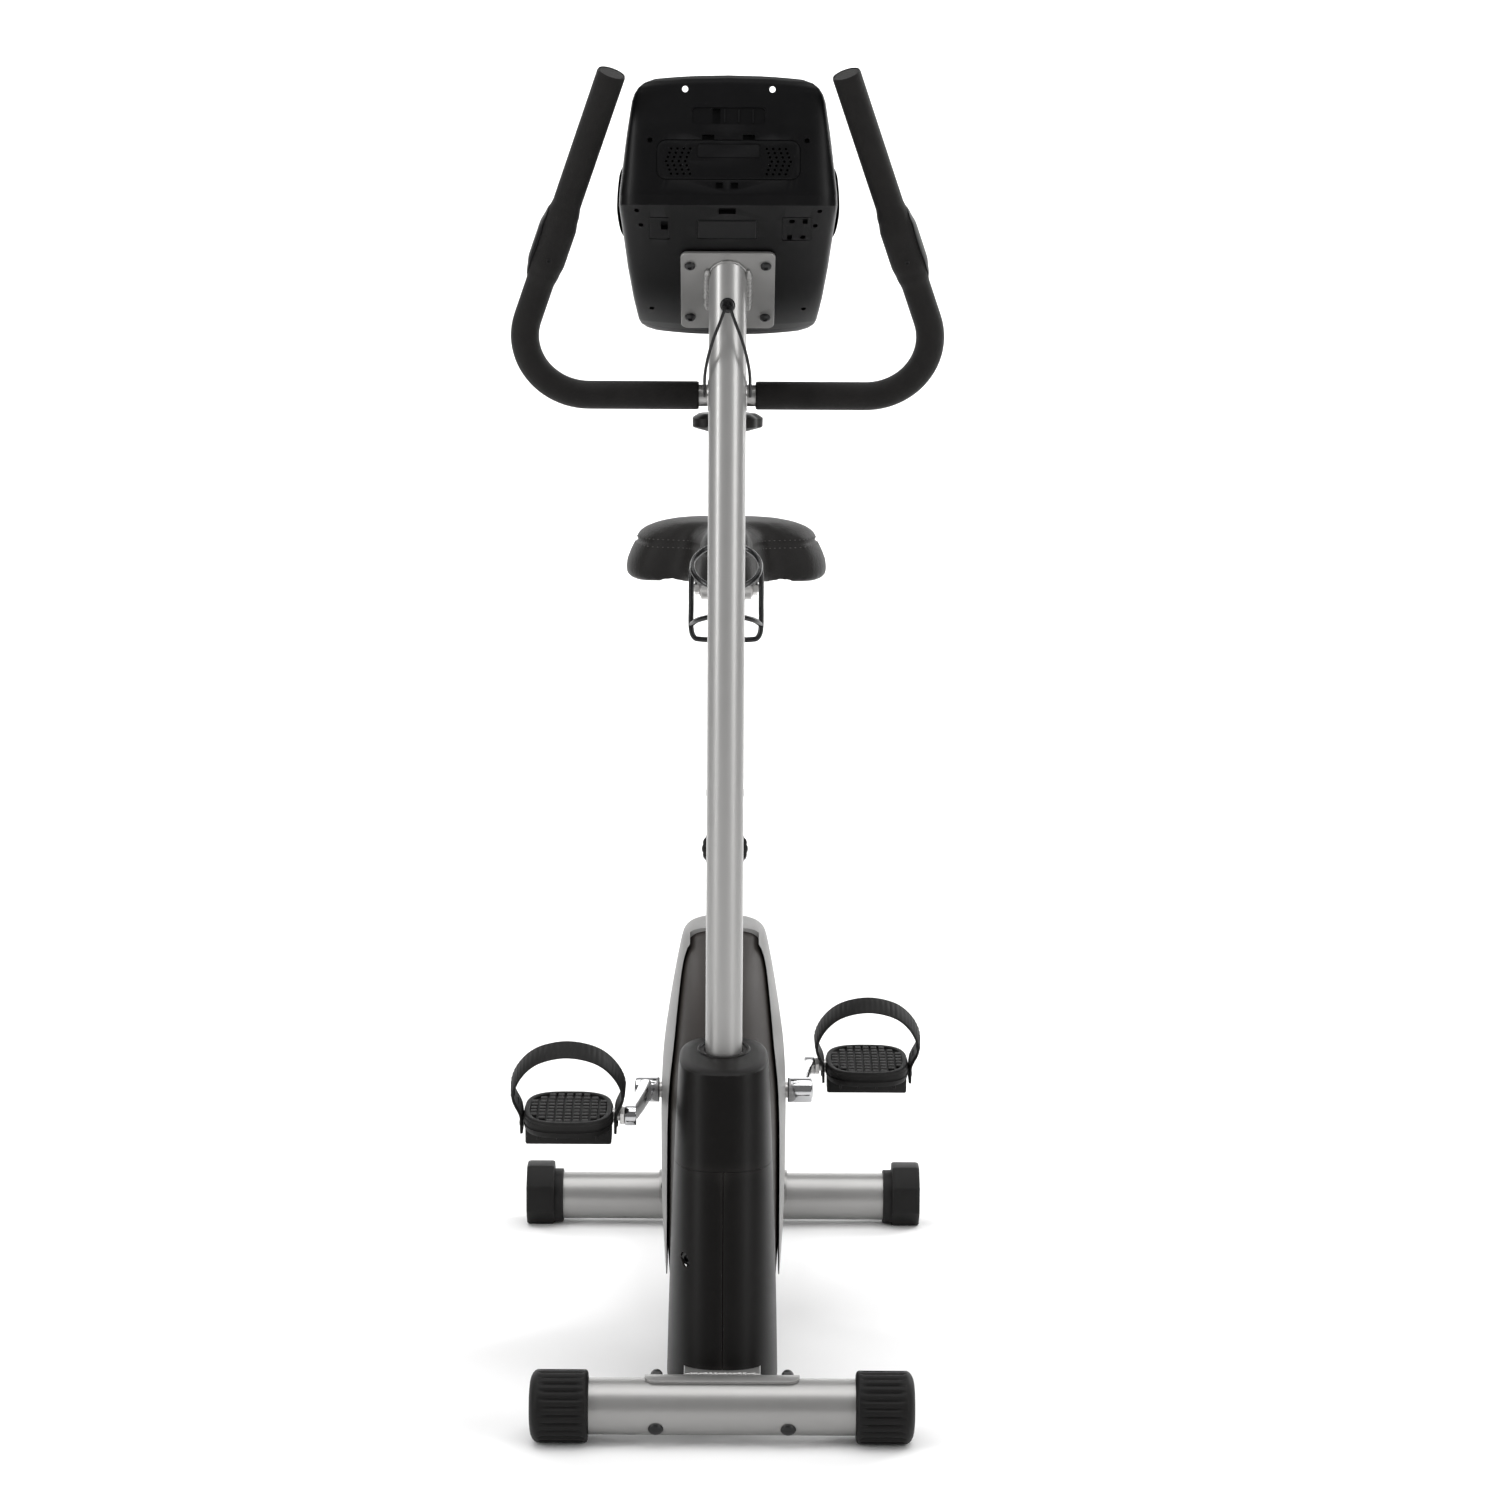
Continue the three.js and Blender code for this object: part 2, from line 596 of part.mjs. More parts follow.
function flywheel() {
  const { radius, low, high, axle } = FLYWHEEL;
  const bore = axle + GAP;
  const pulleyLow = PULLEY.x - PULLEY.half;
  const pulleyHigh = PULLEY.x + PULLEY.half;
  const profile = [
    [low - 2, bore], [low - 2, 17], [-31, 20], [-31, radius - 24], [low, radius - 20],
    [low, radius], [high, radius], [high, radius - 20], [-25, radius - 24], [-25, 20],
    [high, 11], [pulleyLow, 11], [pulleyLow, smallPulleyRadius],
    [pulleyHigh, smallPulleyRadius], [pulleyHigh, bore],
  ];
  return turnedAboutX([...profile, profile[0]], behind(FLYWHEEL.y), FLYWHEEL.z, 24);
}

function flywheelAxle() {
  const y = behind(FLYWHEEL.y);
  const { z, axle } = FLYWHEEL;
  return join(
    crossRod(-51, 54, axle, y, z, 12),
    crossRod(-51, -47.3, 9, y, z, 6),
    crossRod(50.3, 54, 9, y, z, 6));
}

// The belt runs straight along the two outer tangents and round both pulleys.
function beltLoop(clearance) {
  const large = { y: crankY, z: CRANK.z, radius: PULLEY.radius + clearance };
  const small = { y: behind(FLYWHEEL.y), z: FLYWHEEL.z, radius: smallPulleyRadius + clearance };
  const run = new THREE.Vector2(small.y - large.y, small.z - large.z);
  const heading = run.angle();
  const spread = Math.acos((large.radius - small.radius) / run.length());
  const shape = new THREE.Shape();
  shape.absarc(
    large.y, large.z, large.radius, heading + spread, heading - spread + 2 * Math.PI, false);
  shape.absarc(small.y, small.z, small.radius, heading - spread, heading + spread, false);
  return shape;
}

function driveBelt() {
  const [x0, x1] = [PULLEY.x - BELT.half, PULLEY.x + BELT.half];
  const outer = sidePlate(beltLoop(GAP + BELT.thickness), x0, x1, 12);
  const inner = sidePlate(beltLoop(2 * GAP), x0 - 1, x1 + 1, 12);
  return cut(outer, inner);
}

// A curved arm of magnets close to the flywheel's rim, hung from a pivot above it.
function magnetArm() {
  const { y, z, radius, low, high } = FLYWHEEL;
  const [from, to] = [radians(84), radians(150)];
  const shape = new THREE.Shape();
  shape.absarc(behind(y), z, radius + 10, from, to, false);
  shape.absarc(behind(y), z, radius + 2.5, to, from, true);
  const shoe = sidePlate(shape, low, high, 14);
  const pivotY = behind(300);
  const hub = crossRod(low, -13 - GAP, 9, pivotY, 268, 16);
  const pin = crossRod(-20, -6, 4, pivotY, 268, 12);
  return join(shoe, hub, pin);
}

function crankArm() {
  const { length, boss, inner, outer } = CRANK;
  const section = (y, low, high, half) => [
    new THREE.Vector3(high, y, -half), new THREE.Vector3(low, y, -half),
    new THREE.Vector3(low, y, half), new THREE.Vector3(high, y, half),
  ];
  const web = loft([
    section(0, inner + 7, outer - 4, 11.5),
    section(length * 0.35, inner + 11, outer - 2, 10.5),
    section(length, CRANK_EYE.inner, CRANK_EYE.outer, 8.5),
  ]);
  const eye = crossRod(CRANK_EYE.inner, CRANK_EYE.outer, CRANK_EYE.radius, length, 0, 16);
  return cut(
    join(crossRod(inner, outer, boss, 0, 0, 20), eye, web),
    crossRod(inner - 1, outer - 3, AXLE_RADIUS + 2 * GAP, 0, 0, 12),
    crossRod(inner, BIG, 7 + 2 * GAP, length, 0, 10));
}

function pedalSpindle() {
  return join(
    crossRod(CRANK_EYE.inner + 0.5, CRANK_EYE.outer + 3, 7, 0, 0, 10),
    crossRod(CRANK_EYE.outer + GAP, CRANK_EYE.outer + 5, 9.5, 0, 0, 6),
    crossRod(CRANK_EYE.outer + 4, PEDAL.x + PEDAL.half - 6, 5.5, 0, 0, 10));
}

// A broad oval platform over a weight that keeps the tread facing up.
function pedalBody() {
  const { x, half, depth, top, bottom, weight } = PEDAL;
  const outline = ovalRing({ z: 0, front: -depth, rear: depth, half, power: 3 }, 24)
    .map((point) => new THREE.Vector2(point.x + x, point.y - FRONT_Y));
  const platform = floorPlate(new THREE.Shape(outline), bottom, top);
  const ballast = box([x - half, -15, weight], [x + half, 15, bottom + 1]);
  const bore = crossRod(0, x + half - 5, 5.5 + 2 * GAP, 0, 0, 10);
  return cut(join(platform, ballast), bore);
}

// A strap in one arch from the pedal's inner side over the foot to its outer side.
function pedalStrap() {
  const lean = radians(STRAP.lean);
  const { x, half } = PEDAL;
  const foot = half + GAP + STRAP.thickness / 2;
  const arch = [
    [-foot, -14], [-foot - 1, 8], [-STRAP.bulge, 34], [-STRAP.bulge + 8, 60], [-30, 80],
    [0, STRAP.height], [30, 80], [STRAP.bulge - 8, 60], [STRAP.bulge, 34], [foot + 1, 8],
    [foot, -14],
  ];
  const curve = new THREE.CatmullRomCurve3(arch.map(([across, up]) => new THREE.Vector3(
    x + across, -Math.sin(lean) * Math.max(up, 0), up > 0 ? up * Math.cos(lean) : up)));
  const shape = new THREE.Shape([
    new THREE.Vector2(-STRAP.thickness / 2, -STRAP.width / 2),
    new THREE.Vector2(STRAP.thickness / 2, -STRAP.width / 2),
    new THREE.Vector2(STRAP.thickness / 2, STRAP.width / 2),
    new THREE.Vector2(-STRAP.thickness / 2, STRAP.width / 2),
  ]);
  return cut(along(curve, shape, 20), crossRod(0, x, 7));
}

function addDrive(bike) {
  const axle = crossRod(3 - CRANK.outer, CRANK.outer - 3.5, AXLE_RADIUS, crankY, CRANK.z, 20);
  piece(bike, 'crank_axle', axle, zinc());
  piece(bike, 'drive_pulley', crankPulley(), glossBlack());
  piece(bike, 'drive_belt', driveBelt(), rubber());
  piece(bike, 'flywheel', flywheel(), castIron());
  piece(bike, 'flywheel_axle', flywheelAxle(), zinc());
  piece(bike, 'magnet_arm', magnetArm(), zinc());
  const motor = box([-28, behind(236), 322], [28, behind(296), 350]);
  piece(bike, 'resistance_motor', motor, glossBlack());
  SIDES.forEach(({ name, sign }) => {
    const facing = (solid) => (sign > 0 ? solid : mirrored(solid));
    piece(bike, `crank_bearing_${name}`, crankBearing(sign), zinc());
    const crank = new THREE.Group();
    crank.position.set(0, crankY, CRANK.z);
    crank.rotation.x = sign > 0 ? radians(-CRANK.tilt) : radians(180 - CRANK.tilt);
    bike.add(crank);
    piece(crank, `crank_arm_${name}`, facing(crankArm()), chrome());
    const pedal = new THREE.Group();
    pedal.position.set(0, CRANK.length, 0);
    pedal.rotation.x = -crank.rotation.x;
    crank.add(pedal);
    piece(pedal, `pedal_spindle_${name}`, facing(pedalSpindle()), glossBlack());
    piece(pedal, `pedal_${name}`, facing(pedalBody()), rubber());
    piece(pedal, `pedal_strap_${name}`, facing(pedalStrap()), rubber());
  });
}

// ---------------------------------------------------------------- seat

function seatSleeve() {
  const { top } = SEAT_TUBE;
  const outer = join(
    seatRod(200, top + 1, SEAT_TUBE.bore - GAP, 24),
    seatRod(top + GAP, top + 9, SEAT_TUBE.radius + 2, 24));
  return cut(
    outer,
    seatRod(190, top + 20, SEAT_POST.radius + 2 * GAP, 20),
    seatPinRod(SEAT_PIN.along, 10, 40, 4.5));
}

function seatPost() {
  const { radius, bore, low, high } = SEAT_POST;
  const [, headY, headZ] = seatPoint(high);
  const holes = Array.from({ length: 8 }, (unused, i) =>
    seatPinRod(SEAT_PIN.along + (i - 4) * SEAT_PIN.pitch, 5, 30, 4.2, 6));
  return cut(
    join(seatRod(low, high, radius, 20), crossRod(-16, 16, 15, headY, headZ, 20)),
    seatRod(low - 1, high - 22, bore, 12),
    crossRod(-BIG, BIG, 5, headY, headZ, 14),
    ...holes);
}

function seatPinKnob() {
  const station = SEAT_PIN.along;
  return join(
    seatPinRod(station, SEAT_POST.radius + 0.7, 34, 4, 12),
    seatPinRod(station, 30, 44, SEAT_PIN.knob - 1.5, 20),
    seatPinRod(station, 33, 41, SEAT_PIN.knob, 20),
    seatPinRod(station, 43, 47, 14, 12));
}

// Two cheeks on one cross bolt; a saddle rail runs through the top of each.
function seatClamp() {
  const cheeks = SIDES.map(({ sign }) => {
    const ends = [sign * (16 + GAP), sign * 28].sort((a, b) => a - b);
    return box([ends[0], -17, -13], [ends[1], 17, 19]);
  });
  const rails = SIDES.map(({ sign }) =>
    rod([sign * 22, -40, 12], [sign * 22, 40, 12], 4.4, 12));
  return cut(join(crossRod(-36, 36, 4.5, 0, 0, 12),
    crossRod(-35, -27, 8, 0, 0, 6), crossRod(27, 35, 8, 0, 0, 6), ...cheeks), ...rails);
}

function saddleOutline(inset) {
  const { tail, nose: noseLength, halfTail, halfNose } = SADDLE;
  const side = [
    [0, tail], [halfTail * 0.55, tail - 3], [halfTail * 0.93, tail - 28], [halfTail, tail - 62],
    [halfTail * 0.86, tail - 105], [halfNose * 1.6, 0], [halfNose * 1.08, -50],
    [halfNose, 30 - noseLength], [halfNose * 0.7, 8 - noseLength], [0, -noseLength],
  ];
  const shrink = (x, y) => new THREE.Vector2(
    x * (1 - inset / halfTail), y * (1 - inset / tail));
  const rightSide = side.map(([x, y]) => shrink(-x, y));
  const leftSide = side.slice(1, -1).reverse().map(([x, y]) => shrink(x, y));
  return new THREE.SplineCurve([...rightSide, ...leftSide, rightSide[0]]).getPoints(26);
}

function saddlePad() {
  const { bottom, top } = SADDLE;
  const levels = [
    [bottom, 14], [bottom + 5, 2], [bottom + 30, 0], [top - 22, 6], [top - 8, 16], [top, 34],
  ];
  const rings = levels.map(([z, inset]) => saddleOutline(inset)
    .slice(0, -1)
    .map((point) => new THREE.Vector3(point.x, point.y, z)));
  return cut(loft(rings), saddleHollow(GAP));
}

// The pad is hollow below, where the pan and its rails sit.
function saddleHollow(offset) {
  const shape = new THREE.Shape(saddleOutline(22 - offset));
  return floorPlate(shape, -BIG, 27 + offset);
}

function saddlePan() {
  const pan = floorPlate(new THREE.Shape(saddleOutline(24)), 20, 26);
  const rails = SIDES.map(({ sign }) => {
    const points = [
      [9, -108, 22], [12, -88, 20], [20, -50, 13], [22, -30, 12], [22, 0, 12], [22, 30, 12],
      [24, 52, 13], [34, 78, 20], [36, 84, 23],
    ];
    const curve = new THREE.CatmullRomCurve3(
      points.map(([x, y, z]) => new THREE.Vector3(sign * x, y, z)));
    return along(curve, circle(3.5), 16, 3);
  });
  return join(pan, ...rails);
}

function addSeat(bike) {
  piece(bike, 'seat_sleeve', seatSleeve(), glossBlack());
  piece(bike, 'seat_post', seatPost(), chrome());
  piece(bike, 'seat_pin_knob', seatPinKnob(), darkPlastic());
  const saddle = new THREE.Group();
  saddle.position.set(...seatPoint(SEAT_POST.high));
  bike.add(saddle);
  piece(saddle, 'seat_clamp', seatClamp(), zinc());
  piece(saddle, 'saddle_pan', saddlePan(), darkPlastic());
  piece(saddle, 'saddle_pad', saddlePad(), vinyl());
}

// ---------------------------------------------------------------- mast and console

const mastY = behind(MAST.y);

// The console's mounting plate: its own Z points forwards and down, away from the console.
const plateFrame = new THREE.Matrix4()
  .makeRotationX(radians(90 + PLATE.lean))
  .setPosition(0, behind(PLATE.y), PLATE.z);

// The display face: its own Z points at the rider, and its own Y down the face.
const DISPLAY = { y: 210.2, z: 1223.5, lean: -60.3 };
const displayFrame = new THREE.Matrix4()
  .makeRotationX(radians(DISPLAY.lean))
  .setPosition(0, behind(DISPLAY.y), DISPLAY.z);

function roundedRectangle(width, height, radius) {
  const [x, y] = [width / 2, height / 2];
  const shape = new THREE.Shape();
  shape.absarc(x - radius, y - radius, radius, 0, Math.PI / 2);
  shape.absarc(radius - x, y - radius, radius, Math.PI / 2, Math.PI);
  shape.absarc(radius - x, radius - y, radius, Math.PI, 1.5 * Math.PI);
  shape.absarc(x - radius, radius - y, radius, 1.5 * Math.PI, 2 * Math.PI);
  return shape;
}

function mast() {
  const { width, height, thickness } = PLATE;
  const outline = roundedRectangle(width, height, 7);
  const plate = moved(floorPlate(outline, GAP, GAP + thickness, 4), plateFrame);
  const beyond = moved(box([-BIG, -BIG, -BIG], [BIG, BIG, GAP + 1]), plateFrame);
  const screws = SIDES.flatMap(({ sign }) => [-41, 41].map((y) =>
    moved(rod([sign * 38, y, -10], [sign * 38, y, 10], 3, 10), plateFrame)));
  const tube = cut(rod([0, mastY, MAST.bottom], [0, mastY, 1220], MAST.radius, 32), beyond);
  return cut(
    join(tube, plate),
    rod([0, mastY, 0], [0, mastY, 2 * BIG], MAST.radius - STEEL_WALL, 24),
    rod([0, mastY - 40, 1127], [0, mastY, 1127], 4.5, 12));
}

// Level sections of the console: height, back, display face and half width.
const CONSOLE_SECTIONS = [
  [1088, 262, 283, 78], [1093, 252, 282, 87], [1101, 238, 280, 91], [1165, 161.7, 243.5, 101],
  [1226, 89, 208.8, 108], [1238, 88, 202, 107.5], [1300, 99, 166.6, 100],
  [1340, 107, 143.8, 95], [1352, 110, 137, 90], [1359, 114, 131, 78],
];

function consoleBody(offset) {
  const last = CONSOLE_SECTIONS.length - 1;
  const ends = new Map([[0, -offset], [last, offset]]);
  return loft(CONSOLE_SECTIONS.map(([z, back, face, half], i) => ovalRing({
    z: z + (ends.get(i) ?? 0),
    front: back - offset * 1.2,
    rear: face + offset * 1.2,
    half: half + offset,
    power: 7,
  }, 24)));
}

const DISPLAY_DEPTH = 24;
const WINDOW = { half: 62, top: -88, bottom: 12 };
const KEYS = ['up', 'start', 'down'];
const KEY = { half: 11, y: 44, pitch: 34, depth: 8, height: 5, rise: 1.5 };

const keyBox = (i, clearance, low, high) => {
  const x = (i - 1) * KEY.pitch;
  const [halfX, halfY] = [KEY.half + clearance, KEY.depth + clearance];
  return moved(
    box([x - halfX, KEY.y - halfY, low], [x + halfX, KEY.y + halfY, high]), displayFrame);
};

function consoleShell() {
  return cut(consoleBody(0), consoleBody(-PLASTIC_WALL));
}

function consoleBack() {
  const frontSlab = box([-BIG, -BIG, -DISPLAY_DEPTH - GAP], [BIG, BIG, BIG]);
  const leadHole = moved(rod([0, -20, -20], [0, -20, 20], 15, 20), plateFrame);
  return cut(consoleShell(), moved(frontSlab, displayFrame), leadHole);
}

function consoleFront() {
  const { half, top, bottom } = WINDOW;
  const backSlab = box([-BIG, -BIG, -BIG], [BIG, BIG, -DISPLAY_DEPTH]);
  const windowHole = box([-half, top, -12], [half, bottom, 12]);
  return cut(
    consoleShell(),
    moved(backSlab, displayFrame),
    moved(windowHole, displayFrame),
    ...KEYS.map((key, i) => keyBox(i, 0.5, -12, 12)));
}

function displayWindow() {
  const { half, top, bottom } = WINDOW;
  return moved(
    box([GAP - half, top + GAP, -3], [half - GAP, bottom - GAP, -0.6]), displayFrame);
}

function addConsole(bike) {
  piece(bike, 'mast', mast(), silverPaint());
  piece(bike, 'console_back', consoleBack(), darkPlastic());
  piece(bike, 'console_front', consoleFront(), darkPlastic());
  piece(bike, 'display_window', displayWindow(), glossBlack());
  KEYS.forEach((key, i) => {
    piece(bike, `key_${key}`, keyBox(i, 0, KEY.rise - KEY.height, KEY.rise), rubber());
  });
}

// ---------------------------------------------------------------- handlebar

// Both bars and grips are cut at the same stations, so that the bore follows the bar.
const BAR_STATIONS = 18;
const GRIP_STATION = 1;               // the foam starts this many stations from the middle

// One side of the bar's centre line, in the bar's own plane, from the middle out to its end.
function barStations(sign) {
  const run = new THREE.Vector2(BAR_END.x - BAR_CORNER_X, BAR_END.up);
  const turn = run.angle();
  const arcStart = BAR_CORNER_X - BAR.corner * Math.tan(turn / 2);
  const point = (x, up) => new THREE.Vector3(sign * x, 0, up);
  const straight = [0, 1, 2, 3, 4, 5].map((i) => point(arcStart * i / 6, 0));
  const bend = Array.from({ length: 13 }, (unused, i) => {
    const angle = turn * i / 12;
    return point(
      arcStart + BAR.corner * Math.sin(angle), BAR.corner * (1 - Math.cos(angle)));
  });
  const end = point(BAR_END.x, BAR_END.up);
  const upper = [1, 2, 3, 4, 5, 6, 7, 8].map((i) => bend[12].clone().lerp(end, i / 8));
  const curve = new THREE.CatmullRomCurve3([...straight, ...bend, ...upper]);
  return curve.getSpacedPoints(BAR_STATIONS);
}

// A ring with as many sides outside and inside as it is given.
function facetedRing(outer, outerSides, inner, innerSides) {
  const corners = (radius, sides) => Array.from({ length: sides }, (unused, i) => {
    const angle = 2 * Math.PI * i / sides;
    return new THREE.Vector2(radius * Math.cos(angle), radius * Math.sin(angle));
  });
  const shape = new THREE.Shape(corners(outer, outerSides));
  shape.holes.push(new THREE.Path(corners(inner, innerSides)));
  return shape;
}

function handlebarTube() {
  const left = barStations(1);
  const right = barStations(-1).slice(1).reverse();
  const curve = new THREE.CatmullRomCurve3([...right, ...left]);
  return along(curve, facetedRing(BAR.radius, 12, BAR.radius - 1.6, 6), 2 * BAR_STATIONS);
}

function grip(sign) {
  const curve = new THREE.CatmullRomCurve3(barStations(sign).slice(GRIP_STATION));
  const ring = facetedRing(GRIP.radius, 12, GRIP.bore, 6);
  return along(curve, ring, BAR_STATIONS - GRIP_STATION);
}

// The pulse sensor is a swollen housing round the grip where the palm rests.
function pulseSensor(sign) {
  const slope = (BAR_CORNER_X - BAR_END.x) / BAR_END.up;
  const at = (up) => [sign * (BAR_END.x + (BAR_END.up - up) * slope), 0, up];
  return cut(
    join(
      rod(at(128), at(204), GRIP.radius + 1.8, 20),
      rod(at(138), at(192), GRIP.radius + 3.6, 20)),
    rod(at(100), at(230), GRIP.radius + GAP + 0.15, 20));
}

function barClamp() {
  const [barY, knobY] = [behind(BAR.y), behind(CLAMP_KNOB.y)];
  const ring = crossRod(-20, 20, 16, barY, BAR.z, 24);
  const block = box([-14, barY - 35, BAR.z - 13], [14, barY, BAR.z + 13]);
  const ear = box([-10, barY, BAR.z - 8], [10, knobY + 10, BAR.z + 6]);
  return cut(
    join(ring, block, ear),
    rod([0, mastY, 0], [0, mastY, 2 * BIG], MAST.radius + GAP, 32),
    crossRod(-BIG, BIG, BAR.radius + GAP, barY, BAR.z, 24),
    rod([0, knobY, 0], [0, knobY, 2 * BIG], 4 + GAP, 12));
}

function clampKnob() {
  const { radius, half } = CLAMP_KNOB;
  const profile = [
    [-half, 0], [-half, radius - 11], [-half + 3, radius - 3], [-1, radius], [3, radius - 1],
    [half, radius - 9], [half, 4], [38, 4], [38, 0],
  ];
  return turnedAboutZ(profile, 24);
}

function pulseLead(sign) {
  const [exitY, barFront] = [mastY - MAST.radius, behind(BAR.y) - BAR.radius];
  const route = [
    [2.2, exitY + 2, 1127], [2.8, exitY - 5, 1124], [7, exitY - 10, 1112],
    [14, exitY - 11, 1094], [19.5, exitY - 5, 1075], [22.5, exitY + 10, 1058],
    [23, exitY + 32, 1045], [23, barFront - 10, 1037], [23, barFront - GAP, 1034],
  ];
  const points = route.map(([x, y, z]) => new THREE.Vector3(sign * x, y, z));
  return along(new THREE.CatmullRomCurve3(points), circle(1.6), 16, 3);
}

function addHandlebar(bike) {
  piece(bike, 'bar_clamp', barClamp(), zinc());
  const bar = new THREE.Group();
  bar.position.set(0, behind(BAR.y), BAR.z);
  bar.rotation.x = radians(BAR.lean);
  bike.add(bar);
  piece(bar, 'handlebar', handlebarTube(), zinc());
  SIDES.forEach(({ name, sign }) => {
    piece(bar, `grip_${name}`, grip(sign), foam());
    piece(bar, `pulse_sensor_${name}`, pulseSensor(sign), darkPlastic());
    piece(bike, `pulse_lead_${name}`, pulseLead(sign), glossBlack());
  });
  const knob = piece(bike, 'clamp_knob', clampKnob(), darkPlastic());
  knob.position.set(0, behind(CLAMP_KNOB.y), CLAMP_KNOB.z);
}

// ---------------------------------------------------------------- bottle cage

const CAGE = { y: 228, ringZ: 858, ring: 35, wire: 2.8, tilt: 35, base: 781 };

function bottleCage() {
  const y = behind(CAGE.y);
  const spineY = mastY + MAST.radius + GAP;
  const ring = solidOf(new THREE.TorusGeometry(CAGE.ring, CAGE.wire, 6, 18)
    .rotateX(radians(CAGE.tilt))
    .translate(0, y, CAGE.ringZ));
  const wire = (points) => along(
    new THREE.CatmullRomCurve3(points.map(vector)), circle(CAGE.wire), 12, 3);
  const side = CAGE.ring + 1;
  const stirrup = wire([
    [-CAGE.ring, y, CAGE.ringZ], [-side, y, 820], [-side, y, 792], [-29, y, CAGE.base + 2],
    [0, y, CAGE.base + 1], [29, y, CAGE.base + 2], [side, y, 792], [side, y, 820],
    [CAGE.ring, y, CAGE.ringZ],
  ]);
  const cradle = wire([
    [-side, y, 798], [-26, y - 24, 806], [0, spineY + 2.5, 812], [26, y - 24, 806],
    [side, y, 798],
  ]);
  const spine = box([-8, spineY - 3, 802], [8, spineY + 3.5, 872]);
  const reach = CAGE.ring * Math.cos(radians(CAGE.tilt));
  const drop = CAGE.ring * Math.sin(radians(CAGE.tilt));
  const arm = rod([0, spineY + 1, CAGE.ringZ - drop], [0, y - reach, CAGE.ringZ - drop], 3.4, 10);
  return cut(
    join(spine, ring, stirrup, cradle, arm),
    rod([0, mastY, 0], [0, mastY, 2 * BIG], MAST.radius + GAP, 32));
}

// ---------------------------------------------------------------- the whole bike

const group = new THREE.Group();
group.name = 'exercise_bike';
addBase(group);
addInnerFrame(group);
addShroud(group);
addDrive(group);
addSeat(group);
addConsole(group);
addHandlebar(group);
piece(group, 'bottle_cage', bottleCage(), glossBlack());

export default group;
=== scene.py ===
"""Looks of the exercise bike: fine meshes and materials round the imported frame, in metres."""
import json
import math
import random

import bmesh
import bpy
from mathutils import Matrix, Vector, bvhtree


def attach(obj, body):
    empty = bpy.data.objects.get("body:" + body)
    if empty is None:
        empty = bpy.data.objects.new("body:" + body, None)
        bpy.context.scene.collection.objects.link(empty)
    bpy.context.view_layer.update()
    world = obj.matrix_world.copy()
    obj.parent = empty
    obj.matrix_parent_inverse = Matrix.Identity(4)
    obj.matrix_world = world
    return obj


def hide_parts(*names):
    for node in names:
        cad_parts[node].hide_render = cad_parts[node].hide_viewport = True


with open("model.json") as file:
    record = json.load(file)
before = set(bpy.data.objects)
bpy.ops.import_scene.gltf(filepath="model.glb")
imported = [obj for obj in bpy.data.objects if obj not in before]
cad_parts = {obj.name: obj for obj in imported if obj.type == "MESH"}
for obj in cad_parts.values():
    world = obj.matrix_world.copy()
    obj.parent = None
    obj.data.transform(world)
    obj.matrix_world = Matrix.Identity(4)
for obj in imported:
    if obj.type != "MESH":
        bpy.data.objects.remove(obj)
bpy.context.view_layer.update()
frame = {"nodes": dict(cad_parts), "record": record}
MM = 0.001
FRONT_Y = -0.425
REAR_Y = 0.425
SIDES = {"right": -1, "left": 1}


def behind(distance):
    """The Y of a place given by its distance in mm behind the front stabiliser's axis."""
    return FRONT_Y + distance * MM


# ------------------------------------------------------------------ camera, first

CAMERA_Y = behind(-3776)
CAMERA_Z = 1.230
CAMERA_PITCH = math.radians(8.0)
CAMERA_LENS = 93.72
CAMERA_SHIFT = 0.0145
CAMERA_ROLL = math.radians(-0.30)


def add_camera():
    camera = bpy.data.objects.new("camera", bpy.data.cameras.new("camera"))
    camera.data.lens = CAMERA_LENS
    camera.data.sensor_width = 36
    camera.data.shift_x = CAMERA_SHIFT
    camera.data.clip_end = 60
    camera.location = (0, CAMERA_Y, CAMERA_Z)
    camera.rotation_euler = (math.radians(90) - CAMERA_PITCH, CAMERA_ROLL, 0)
    bpy.context.scene.collection.objects.link(camera)
    bpy.context.scene.camera = camera


add_camera()


# ------------------------------------------------------------------ mesh helpers

def new_piece(name, verts, faces, material, body, slot, stands_for=(), smooth=40.0):
    """One mesh object that rides on a body and wears the material it is given."""
    mesh = bpy.data.meshes.new(name)
    mesh.from_pydata([tuple(v) for v in verts], [], faces)
    mesh.update()
    mesh.materials.append(material)
    piece = bpy.data.objects.new(name, mesh)
    bpy.context.scene.collection.objects.link(piece)
    shade(mesh, smooth)
    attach(piece, body)
    if stands_for:
        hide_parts(*stands_for)
    return piece


def cleaned(mesh, merge_distance):
    """A bmesh of a mesh, with its doubled points merged and its faces turned outward."""
    work = bmesh.new()
    work.from_mesh(mesh)
    bmesh.ops.remove_doubles(work, verts=work.verts, dist=merge_distance)
    bmesh.ops.recalc_face_normals(work, faces=work.faces)
    return work


def shade(mesh, angle):
    """Smooth shading, with an edge kept sharp where its faces meet at more than the angle."""
    limit = math.radians(angle)
    work = cleaned(mesh, 1e-6)
    for face in work.faces:
        face.smooth = True
    for edge in work.edges:
        sharp = len(edge.link_faces) != 2 or edge.calc_face_angle(0.0) > limit
        edge.smooth = not sharp
    work.to_mesh(mesh)
    work.free()


def joined(*parts):
    """Several (verts, faces) pairs as one."""
    verts, faces = [], []
    for part_verts, part_faces in parts:
        start = len(verts)
        verts.extend(part_verts)
        faces.extend([tuple(i + start for i in face) for face in part_faces])
    return verts, faces


